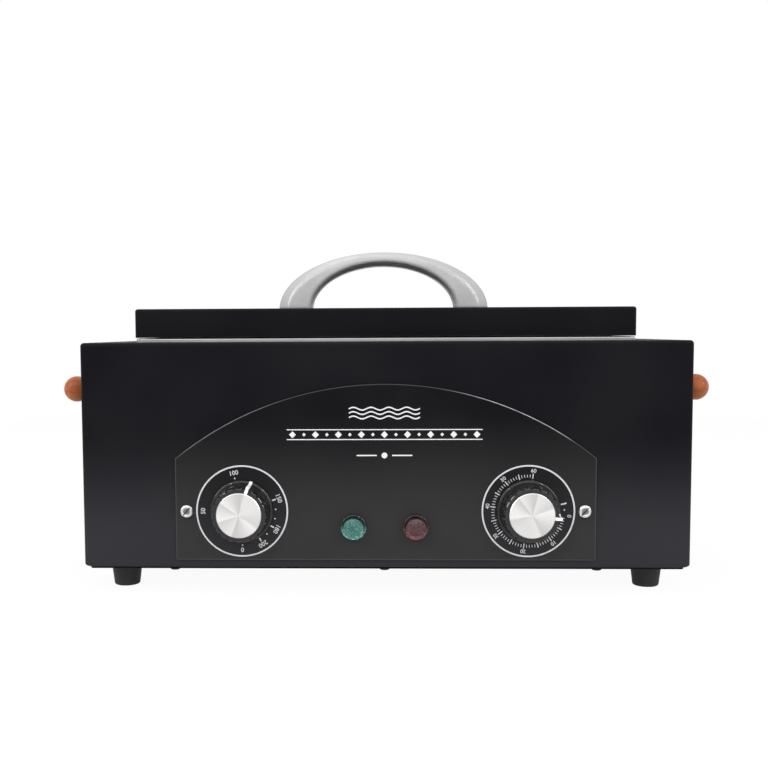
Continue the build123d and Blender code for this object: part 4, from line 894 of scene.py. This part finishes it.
class PrintSheet:
    """Flat print of a hair's thickness on the front of the control plate."""

    def __init__(self, name: str, proud: float = PRINT_PROUD) -> None:
        """Starts an empty sheet.

        Args:
            name: The finished piece's name.
            proud: How far the print stands off the plate in millimetres.
        """
        self.name = name
        self.mesh = bmesh.new()
        self.back = PLATE_FRONT + PRINT_SINK
        self.front = PLATE_FRONT - proud

    def layer(self, points: Iterable[Point], depth: float) -> Loop:
        """Makes one vertex for each point at one depth."""
        return [self.mesh.verts.new((x * MM, depth * MM, z * MM)) for x, z in points]

    def wall(self, first: Loop, second: Loop) -> None:
        """Joins two closed loops of as many vertices with faces."""
        pairs = list(zip(first, second))
        for (one, two), (next_one, next_two) in zip(pairs, pairs[1:] + pairs[:1]):
            self.mesh.faces.new((one, next_one, next_two, two))

    def patch(self, outline: Sequence[Point]) -> None:
        """Adds a filled shape.

        Args:
            outline: Its corners in order, in millimetres.
        """
        rear = self.layer(outline, self.back)
        face = self.layer(outline, self.front)
        self.mesh.faces.new(face)
        self.mesh.faces.new(rear[::-1])
        self.wall(rear, face)

    def band(self, inner: Sequence[Point], outer: Sequence[Point]) -> None:
        """Adds a closed band between two outlines with as many corners each.

        Args:
            inner: The inner outline.
            outer: The outer outline.
        """
        loops = [self.layer(points, depth) for points, depth in (
            (inner, self.back), (inner, self.front), (outer, self.front), (outer, self.back))]
        for first, second in zip(loops, loops[1:] + loops[:1]):
            self.wall(first, second)

    def ring(self, centre: Point, inner: float, outer: float, count: int = RING_STEPS) -> None:
        """Adds a printed circle between two radii."""
        self.band(circle(centre, inner, count), circle(centre, outer, count))

    def dot(self, centre: Point, radius: float, count: int = DOT_STEPS) -> None:
        """Adds a filled dot."""
        self.patch(circle(centre, radius, count))

    def bar(self, start: Point, end: Point, width: float) -> None:
        """Adds a straight bar.

        Args:
            start: The middle of its first end.
            end: The middle of its other end.
            width: Its width in millimetres.
        """
        near, far = Vector(start), Vector(end)
        direction = (far - near).normalized() * width / 2
        side = Vector((-direction.y, direction.x))
        corners = (near + side, far + side, far - side, near - side)
        self.patch([tuple(corner) for corner in corners])

    def number(self, text: str, centre: Point, turn: float, height: float) -> None:
        """Adds a number whose top points along a clock angle.

        Args:
            text: The digits.
            centre: The middle of the number.
            turn: The clock angle of its top in radians.
            height: The height of its digits in millimetres.
        """
        curve = bpy.data.curves.new("digits", "FONT")
        curve.body = text
        curve.align_x = "CENTER"
        curve.size = height / DIGIT_SHARE
        curve.resolution_u = 4
        curve.extrude = (self.back - self.front) / 2
        curve.offset = DIGIT_WEIGHT
        holder = bpy.data.objects.new("digits", curve)
        bpy.context.collection.objects.link(holder)
        bpy.context.view_layer.update()
        depsgraph = bpy.context.evaluated_depsgraph_get()
        flat = bpy.data.meshes.new_from_object(holder.evaluated_get(depsgraph))
        lower = Matrix.Translation((0.0, -height / 2, 0.0))
        upright = Matrix.Rotation(math.pi / 2, 4, "X")
        turned = Matrix.Rotation(turn, 4, "Y")
        moved = Matrix.Translation((centre[0], (self.back + self.front) / 2, centre[1]))
        flat.transform(Matrix.Scale(MM, 4) @ moved @ turned @ upright @ lower)
        self.mesh.from_mesh(flat)
        bpy.data.objects.remove(holder)
        bpy.data.curves.remove(curve)
        bpy.data.meshes.remove(flat)

    def piece(self, finish: Finish) -> bpy.types.Object:
        """Closes the sheet and fixes it to the case.

        Args:
            finish: What it is printed in.

        Returns:
            The finished piece.
        """
        bmesh.ops.recalc_face_normals(self.mesh, faces=self.mesh.faces)
        data = bpy.data.meshes.new(self.name)
        self.mesh.to_mesh(data)
        self.mesh.free()
        data.materials.append(finish.material())
        made = bpy.data.objects.new(self.name, data)
        bpy.context.collection.objects.link(made)
        bpy.context.view_layer.update()
        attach(made, Body.CASE.value)
        LOG.info("made %s with %d faces", self.name, len(data.polygons))
        return made


def circle(centre: Point, radius: float, count: int) -> list[Point]:
    """Returns points evenly round a circle, clockwise from the top."""
    turns = [math.tau * index / count for index in range(count)]
    return [polar(centre, radius, turn) for turn in turns]


def polar(centre: Point, radius: float, turn: float) -> Point:
    """Returns the point at a radius and a clock angle about a centre."""
    return (centre[0] + radius * math.sin(turn), centre[1] + radius * math.cos(turn))


@dataclass
class Dial:
    """One knob with its cap and the scale printed round it."""

    name: str
    knob_nodes: tuple[str, str, str]
    centre: Point
    rest_degrees: float
    numbers: tuple[tuple[float, str], ...]
    dots: tuple[tuple[float, float], ...] = ()
    ticks: tuple[Tick, ...] = ()
    ring_radius: float = 25.05
    ring_width: float = 0.85
    number_radius: float = 21.7
    number_height: float = 2.45
    # Turns the cap's painted fans of reflected light.
    painted_fan_phase: float = 0.6
    dot_radius: float = 0.42
    disc_inset: float = 0.3
    disc_proud: float = 0.015

    def build(self) -> None:
        """Dresses the knob and prints its scale."""
        knob, cap, shaft = self.knob_nodes
        phenolic = KnobMoulding(f"{self.name}_knob_phenolic", self.centre, self.rest_degrees)
        phenolic.dress(knob)
        SpunCap(f"{self.name}_spun_cap", self.centre, phase=self.painted_fan_phase).dress(cap)
        PLATED_STEEL.dress(shaft)
        disc = PrintSheet(f"{self.name}_dial_disc", self.disc_proud)
        disc.dot(self.centre, self.ring_radius - self.disc_inset, RING_STEPS)
        disc.piece(DISC_GLOSS)
        scale = PrintSheet(f"{self.name}_dial_scale")
        half = self.ring_width / 2
        scale.ring(self.centre, self.ring_radius - half, self.ring_radius + half)
        for degrees, inner, outer, width in self.ticks:
            turn = math.radians(degrees)
            scale.bar(polar(self.centre, inner, turn), polar(self.centre, outer, turn), width)
        for degrees, radius in self.dots:
            scale.dot(polar(self.centre, radius, math.radians(degrees)), self.dot_radius)
        for degrees, text in self.numbers:
            turn = math.radians(degrees)
            middle = polar(self.centre, self.number_radius, turn)
            scale.number(text, middle, turn, self.number_height)
        scale.piece(DIAL_PRINT)


@dataclass
class ControlPlate:
    """The arch-topped plate with a painted highlight along its edge, its ornament and its screws.
    """

    half_width: float = 115.5
    foot: float = 18.8
    shoulder: float = 75.3
    apex: float = 116.2
    edge_inset: float = 0.12
    edge_width: float = 0.42
    edge_proud: float = 0.03
    wave_rows: tuple[float, ...] = (102.6, 100.2, 97.8)
    wave_half: float = 19.4
    wave_rise: float = 0.75
    wave_count: int = 4
    line_half: float = 0.36
    rule_half: float = 53.5
    rule_width: float = 0.5
    rule_rows: tuple[float, float] = (91.1, 85.7)
    pip_row: float = 88.4
    pip_pitch: float = 6.3
    pip_halves: tuple[float, float] = (1.9, 1.0)
    bar_row: float = 76.9
    bar_ends: tuple[float, float] = (4.2, 15.2)
    bar_width: float = 0.7
    knot_radius: float = 1.6

    def outline(self, inset: float) -> list[Point]:
        """Returns the plate's outline drawn in by an inset.

        Args:
            inset: How far inside the plate's edge it runs, in millimetres.

        Returns:
            Its corners, with the arch divided finely.
        """
        side = self.half_width - inset
        rise = self.apex - self.shoulder
        radius = (self.half_width**2 + rise**2) / (2 * rise)
        centre = self.apex - radius
        radius -= inset
        sweep = math.asin(side / radius)
        steps = 72
        turns = [sweep * (1 - 2 * index / steps) for index in range(steps + 1)]
        arch = [polar((0.0, centre), radius, turn) for turn in turns]
        return [(side, self.foot + inset), *arch, (-side, self.foot + inset)]

    def wave(self, sheet: PrintSheet, height: float) -> None:
        """Adds one wavy line of the ornament.

        Args:
            sheet: The sheet it is printed with.
            height: The line's middle height in millimetres.
        """
        steps = 60
        upper, lower = [], []
        for index in range(steps + 1):
            share = index / steps
            across = self.wave_half * (2 * share - 1)
            swing = self.wave_rise * math.sin(math.tau * self.wave_count * share)
            upper.append((across, height + swing + self.line_half))
            lower.append((across, height + swing - self.line_half))
        sheet.patch(upper + lower[::-1])

    def build(self) -> None:
        """Dresses the plate, adds its edge strip with a painted highlight, and prints its ornament.
        """
        PLATE_BLACK.dress("control_plate")
        PLATE_SCREW.dress("control_plate_screws")
        PLATED_STEEL.dress("control_plate_nuts")
        trim = PrintSheet("plate_edge_line", self.edge_proud)
        inner = self.outline(self.edge_inset + self.edge_width)
        trim.band(inner, self.outline(self.edge_inset))
        trim.piece(EDGE_LINE)
        print_sheet = PrintSheet("plate_ornament")
        for height in self.wave_rows:
            self.wave(print_sheet, height)
        for height in self.rule_rows:
            print_sheet.bar((-self.rule_half, height), (self.rule_half, height), self.rule_width)
        count = int(self.rule_half / self.pip_pitch)
        for index in range(-count, count + 1):
            across = index * self.pip_pitch
            half = self.pip_halves[index % 2]
            corners = ((across, self.pip_row + half), (across + half, self.pip_row),
                       (across, self.pip_row - half), (across - half, self.pip_row))
            print_sheet.patch(corners)
        inner, outer = self.bar_ends
        for start, end in ((-outer, -inner), (inner, outer)):
            print_sheet.bar((start, self.bar_row), (end, self.bar_row), self.bar_width)
        print_sheet.dot((0.0, self.bar_row), self.knot_radius)
        print_sheet.piece(WHITE_PRINT)


@dataclass
class Enclosure:
    """The folded case, its bottom plate, feet and side balls."""

    def build(self) -> None:
        """Dresses the enclosure's nodes."""
        CASE_BLACK.dress("outer_case")
        BOTTOM_BLACK.dress("bottom_plate")
        RUBBER.dress("foot_front_left", "foot_front_right", "foot_rear_left", "foot_rear_right")
        WOOD.dress("wood_ball_left", "wood_ball_right")
        BLACKENED_STEEL.dress("bottom_plate_screws", "foot_screws")
        PLATED_STEEL.dress("foot_nuts", "stem_nuts", "ball_stem_left", "ball_stem_right")


@dataclass
class Lid:
    """The inset lid, its bow handle and its hinges."""

    def build(self) -> None:
        """Dresses the lid's nodes."""
        CASE_BLACK.dress("lid_shell")
        SILVER.dress("bow_handle")
        STAINLESS.dress("lid_inner_panel")
        WOOL.dress("lid_insulation")
        SILICONE.dress("lid_seal")
        PLATED_STEEL.dress(
            "handle_screws", "lid_hinge_screws", "case_hinge_screws", "lid_hinge_leaf_left",
            "lid_hinge_leaf_right", "case_hinge_leaf_left", "case_hinge_leaf_right",
            "hinge_pin_left", "hinge_pin_right")


@dataclass
class Chamber:
    """The heated pan with its tray, heater and insulation."""

    def build(self) -> None:
        """Dresses the chamber's nodes."""
        STAINLESS.dress("chamber_liner", "instrument_tray", "tray_loop_left", "tray_loop_right")
        GALVANISED.dress("heat_shield")
        RAW_ALUMINIUM.dress("heat_spreader")
        SHEATH.dress("heating_element")
        COPPER.dress("capillary_bulb")
        WOOL.dress("chamber_insulation")
        PLATED_STEEL.dress("element_clamps", "thermal_cutout")


@dataclass
class Electrics:
    """The pilot lamps, the two controls behind the plate, and the mains inlet."""

    def build(self) -> None:
        """Dresses the electrical nodes."""
        GREEN_LENS.dress("green_lamp_lens")
        RED_LENS.dress("red_lamp_lens")
        BLACK_PLASTIC.dress("green_lamp_holder", "red_lamp_holder", "lamp_nuts", "inlet_housing")
        BRASS.dress("inlet_pins")
        CERAMIC.dress("terminal_block")
        PLATED_STEEL.dress("inlet_screws", "dial_nuts", "timer_body", "thermostat_body")


@dataclass
class Softbox:
    """One soft lamp that faces a point on the part."""

    name: str
    place: Spot
    size: tuple[float, float]
    watts: float
    target: Spot = (0.0, 0.0, 0.09)

    def build(self) -> None:
        """Hangs the lamp."""
        lamp = bpy.data.lights.new(self.name, "AREA")
        lamp.shape = "RECTANGLE"
        lamp.size, lamp.size_y = self.size
        lamp.energy = self.watts
        holder = bpy.data.objects.new(self.name, lamp)
        bpy.context.collection.objects.link(holder)
        holder.location = self.place
        aim = Vector(self.target) - Vector(self.place)
        holder.rotation_euler = aim.to_track_quat("-Z", "Y").to_euler()


@dataclass
class Studio:
    """The pale floor, the white surround, the lamps and the camera."""

    floor_half: float = 12.0
    floor_level: float = 0.95
    floor_glow: float = 0.95
    shadow_reach: float = 0.45
    surround: float = 0.55
    focal_px: float = 1075.956
    centre_px: Point = (340.55, 415.192)
    place_mm: Spot = (-4.328, -669.74, 144.496)
    pitch: float = 4.4297
    yaw: float = 1.9177
    roll: float = -0.2936
    lamps: tuple[Softbox, ...] = (
        Softbox("lamp_over", (-0.1, -0.1, 1.25), (2.1, 1.7), 10.5),
        Softbox("lamp_left", (-1.15, -0.45, 0.75), (0.3, 0.8), 6.5),
        Softbox("lamp_right", (1.15, -0.45, 0.75), (0.3, 0.8), 6.0),
        Softbox("lamp_front", (0.0, -1.5, 0.55), (1.0, 0.5), 2.5),
        Softbox("spark_left", (-0.55, -0.95, 0.75), (0.12, 0.12), 2.2),
        Softbox("spark_right", (0.62, -0.95, 0.70), (0.12, 0.12), 2.0),
    )

    def seen_plainly(self, graph: Graph) -> Socket:
        """Returns 1 for rays that look at the background directly or in a reflection.

        Args:
            graph: The nodes it is made in.

        Returns:
            The mask's socket.
        """
        path = graph.add("ShaderNodeLightPath").outputs
        mirrored = graph.calc(Op.MAXIMUM, path["Is Camera Ray"], path["Is Glossy Ray"])
        return graph.calc(Op.MAXIMUM, mirrored, path["Is Transmission Ray"])

    def light_world(self) -> None:
        """Makes the surround white to the eye and plain as a light."""
        world = bpy.data.worlds.new("white_surround")
        world.use_nodes = True
        world.node_tree.nodes.clear()
        graph = Graph(world.node_tree)
        strength = graph.spread(self.seen_plainly(graph), 0.0, 1.0, self.surround, 1.0)
        inputs = {"Color": grey(1.0), "Strength": strength}
        background = graph.add("ShaderNodeBackground", inputs)
        graph.add("ShaderNodeOutputWorld", {"Surface": background.outputs[0]})
        bpy.context.scene.world = world

    def floor_paint(self) -> bpy.types.Material:
        """Makes the floor's paint, which is white to the eye but for the part's shadow.

        Returns:
            The material.
        """
        paint = bpy.data.materials.new("pale_floor")
        paint.use_nodes = True
        paint.node_tree.nodes.clear()
        graph = Graph(paint.node_tree)
        diffuse = graph.add("ShaderNodeBsdfDiffuse", {"Color": grey(self.floor_level)})
        glow = graph.add("ShaderNodeEmission", {"Color": grey(1.0), "Strength": 1.0})
        away = graph.add("ShaderNodeVectorMath", {0: graph.spot()}, operation="LENGTH")
        reach = graph.ease(away.outputs["Value"], self.shadow_reach, self.shadow_reach * 3)
        paleness = graph.calc(Op.MAXIMUM, reach, self.floor_glow)
        share = graph.times(self.seen_plainly(graph), paleness)
        inputs = {0: share, 1: diffuse.outputs[0], 2: glow.outputs[0]}
        both = graph.add("ShaderNodeMixShader", inputs)
        graph.add("ShaderNodeOutputMaterial", {"Surface": both.outputs[0]})
        return paint

    def lay_floor(self) -> None:
        """Lays the pale floor, which keeps the part's shadow."""
        made = bmesh.new()
        half, level = self.floor_half, CAD_BOX[0][2]
        signs = ((-1, -1), (1, -1), (1, 1), (-1, 1))
        made.faces.new([made.verts.new((x * half, y * half, level)) for x, y in signs])
        data = bpy.data.meshes.new("studio_floor")
        made.to_mesh(data)
        made.free()
        floor = bpy.data.objects.new("studio_floor", data)
        bpy.context.collection.objects.link(floor)
        data.materials.append(self.floor_paint())

    def aim_camera(self) -> None:
        """Stands the camera where the picture was taken from."""
        pitch, yaw, roll = (math.radians(value) for value in (self.pitch, self.yaw, self.roll))
        flat = math.cos(pitch)
        ahead = Vector((-math.sin(yaw) * flat, math.cos(yaw) * flat, -math.sin(pitch)))
        level = Vector((math.cos(yaw), math.sin(yaw), 0.0))
        upward = level.cross(ahead)
        right = math.cos(roll) * level + math.sin(roll) * upward
        up = math.cos(roll) * upward - math.sin(roll) * level
        turn = Matrix((right, up, -ahead)).transposed().to_4x4()
        lens = bpy.data.cameras.new("picture_camera")
        lens.sensor_fit = "HORIZONTAL"
        lens.sensor_width = SENSOR_WIDTH
        lens.lens = self.focal_px * SENSOR_WIDTH / PICTURE_SIZE
        lens.shift_x = (PICTURE_SIZE / 2 - self.centre_px[0]) / PICTURE_SIZE
        lens.shift_y = (self.centre_px[1] - PICTURE_SIZE / 2) / PICTURE_SIZE
        lens.clip_start = 0.01
        camera = bpy.data.objects.new("picture_camera", lens)
        bpy.context.collection.objects.link(camera)
        camera.matrix_world = Matrix.Translation(Vector(self.place_mm) * MM) @ turn
        bpy.context.scene.camera = camera

    def build(self) -> None:
        """Sets up the whole studio."""
        bpy.context.scene.view_settings.view_transform = "Standard"
        self.light_world()
        self.lay_floor()
        for lamp in self.lamps:
            lamp.build()
        self.aim_camera()
        LOG.info("set up the studio with %d lamps", len(self.lamps))


# Each coat's first colour is painted light low down, its second painted shade up top.
CASE_BLACK = BakedCoat(
    # The case's high wear paints highlights along its top bend and the lid's edges, besides
    # rubbing.
    "black_powder_coat", (0.026, 0.025, 0.029, 1.0), (0.0042, 0.0040, 0.0060, 1.0), wear=0.3)
BOTTOM_BLACK = BakedCoat(
    "black_bottom_coat", (0.003, 0.003, 0.004, 1.0), (0.002, 0.002, 0.003, 1.0), shine=0.03,
    rounding=0.0)
PLATE_BLACK = BakedCoat(
    "control_panel_black", (0.030, 0.030, 0.031, 1.0), (0.003, 0.003, 0.004, 1.0), low=0.028,
    high=0.106, roughness=0.42, shine=0.05, peel=0.00001, wear=0.1, rounding=0.0)
DISC_GLOSS = BakedCoat(
    "dial_disc_gloss", (0.024, 0.024, 0.026, 1.0), (0.006, 0.006, 0.007, 1.0), low=0.022,
    high=0.078, roughness=0.28, shine=0.07, peel=0.000004, wear=0.0, rounding=0.0)
STAINLESS = BrushedSheet("stainless_steel", (0.40, 0.392, 0.398, 1.0), (0.27, 0.265, 0.27, 1.0))
GALVANISED = BrushedSheet(
    "galvanised_sheet", (0.55, 0.57, 0.58, 1.0), (0.38, 0.39, 0.40, 1.0), roughness=0.42)
RAW_ALUMINIUM = BrushedSheet("raw_aluminium", grey(0.74), grey(0.58), roughness=0.38)
PLATED_STEEL = GrainedMetal(
    "plated_steel", (0.50, 0.49, 0.48, 1.0), (0.38, 0.37, 0.36, 1.0), roughness=0.34)
BLACKENED_STEEL = GrainedMetal(
    "blackened_steel", (0.030, 0.030, 0.032, 1.0), (0.016, 0.016, 0.018, 1.0), roughness=0.42,
    edge_lift=0.08)
PLATE_SCREW = SlottedHead("plate_screw_steel", (109.2, 46.1))
SILVER = GrainedMetal(
    "silver_lacquer", (0.46, 0.458, 0.458, 1.0), (0.36, 0.358, 0.358, 1.0), roughness=0.34,
    metallic=0.35, grain_scale=1800.0, edge_lift=0.25, rounding=0.0035)
SHEATH = GrainedMetal(
    "element_sheath", (0.20, 0.17, 0.15, 1.0), (0.12, 0.10, 0.10, 1.0), roughness=0.5)
COPPER = GrainedMetal("copper", (0.78, 0.38, 0.24, 1.0), (0.52, 0.24, 0.16, 1.0))
BRASS = GrainedMetal(
    "brass_contact", (0.76, 0.58, 0.28, 1.0), (0.58, 0.42, 0.20, 1.0), roughness=0.28)
RUBBER = Moulding("foot_rubber", grey(0.016), grey(0.026), roughness=0.62, shine=0.25)
BLACK_PLASTIC = Moulding("black_plastic", grey(0.012), grey(0.022), roughness=0.4, shine=0.35)
SILICONE = Moulding(
    "silicone", (0.30, 0.065, 0.045, 1.0), (0.22, 0.045, 0.03, 1.0), roughness=0.55)
CERAMIC = Moulding(
    "white_ceramic", (0.80, 0.78, 0.74, 1.0), (0.70, 0.68, 0.63, 1.0), roughness=0.22)
WOOL = Moulding(
    "mineral_wool", (0.62, 0.57, 0.42, 1.0), (0.40, 0.36, 0.24, 1.0), roughness=0.9, shine=0.1,
    grain_scale=700.0, grain_height=0.0004)
GREEN_LENS = TintedLens(
    "green_lens", (-17.1, 37.3), colour=(0.075, 0.22, 0.19, 1.0), deep=(0.015, 0.10, 0.085, 1.0),
    glint_colour=(0.30, 0.62, 0.55, 1.0))
RED_LENS = TintedLens(
    "red_lens", (17.1, 37.3), colour=(0.088, 0.036, 0.040, 1.0), deep=(0.045, 0.008, 0.014, 1.0),
    glint_colour=(0.30, 0.085, 0.10, 1.0))
WOOD = TurnedWood("turned_wood")
WHITE_PRINT = PrintInk("white_print")
DIAL_PRINT = PrintInk("dial_print", (0.60, 0.60, 0.62, 1.0), (0.34, 0.34, 0.36, 1.0))
EDGE_LINE = CutEdge("plate_edge_painted_highlight")


def minute_tick(minute: int) -> Tick:
    """Returns one minute's tick on the timer, longer at each fifth."""
    span = (18.0, 20.9, 0.55) if minute % 5 == 0 else (18.6, 20.2, 0.35)
    return (TIMER_START + MINUTE_DEGREES * minute, *span)


TEMPERATURE_DIAL = Dial(
    "temperature",
    ("temperature_knob", "temperature_knob_cap", "thermostat_shaft"),
    (-78.6, 46.1),
    18.0,
    numbers=(
        (180.0, "0"), (270.0, "50"), (348.0, "100"), (70.5, "150"), (117.5, "180"), (148.0, "200")),
    dots=((180.0, 19.0), (348.0, 18.6), (87.0, 18.6), (103.0, 18.6), (133.0, 18.6)),
    ticks=tuple((degrees, 17.7, 19.8, 0.8) for degrees in (70.5, 117.5, 148.0)),
)
TIMER_DIAL = Dial(
    "timer",
    ("timer_knob", "timer_knob_cap", "timer_shaft"),
    (78.6, 46.1),
    TIMER_START,
    numbers=tuple(
        (TIMER_START + 10 * MINUTE_DEGREES * step, str(10 * step)) for step in range(7)),
    dots=((88.0, 19.6),),
    ticks=((78.0, 18.0, 21.2, 0.8), *(minute_tick(minute) for minute in range(1, 61))),
    number_radius=22.5,
    number_height=2.1,
    painted_fan_phase=2.1,
)


def main() -> None:
    """Builds every sub-assembly in order."""
    logging.basicConfig(level=logging.INFO, format="%(message)s")
    assemblies = (
        Enclosure(), Lid(), Chamber(), Electrics(), ControlPlate(), TEMPERATURE_DIAL, TIMER_DIAL,
        Studio())
    for assembly in assemblies:
        assembly.build()
        LOG.info("built %s", type(assembly).__name__)


if __name__ == "__main__":
    main()
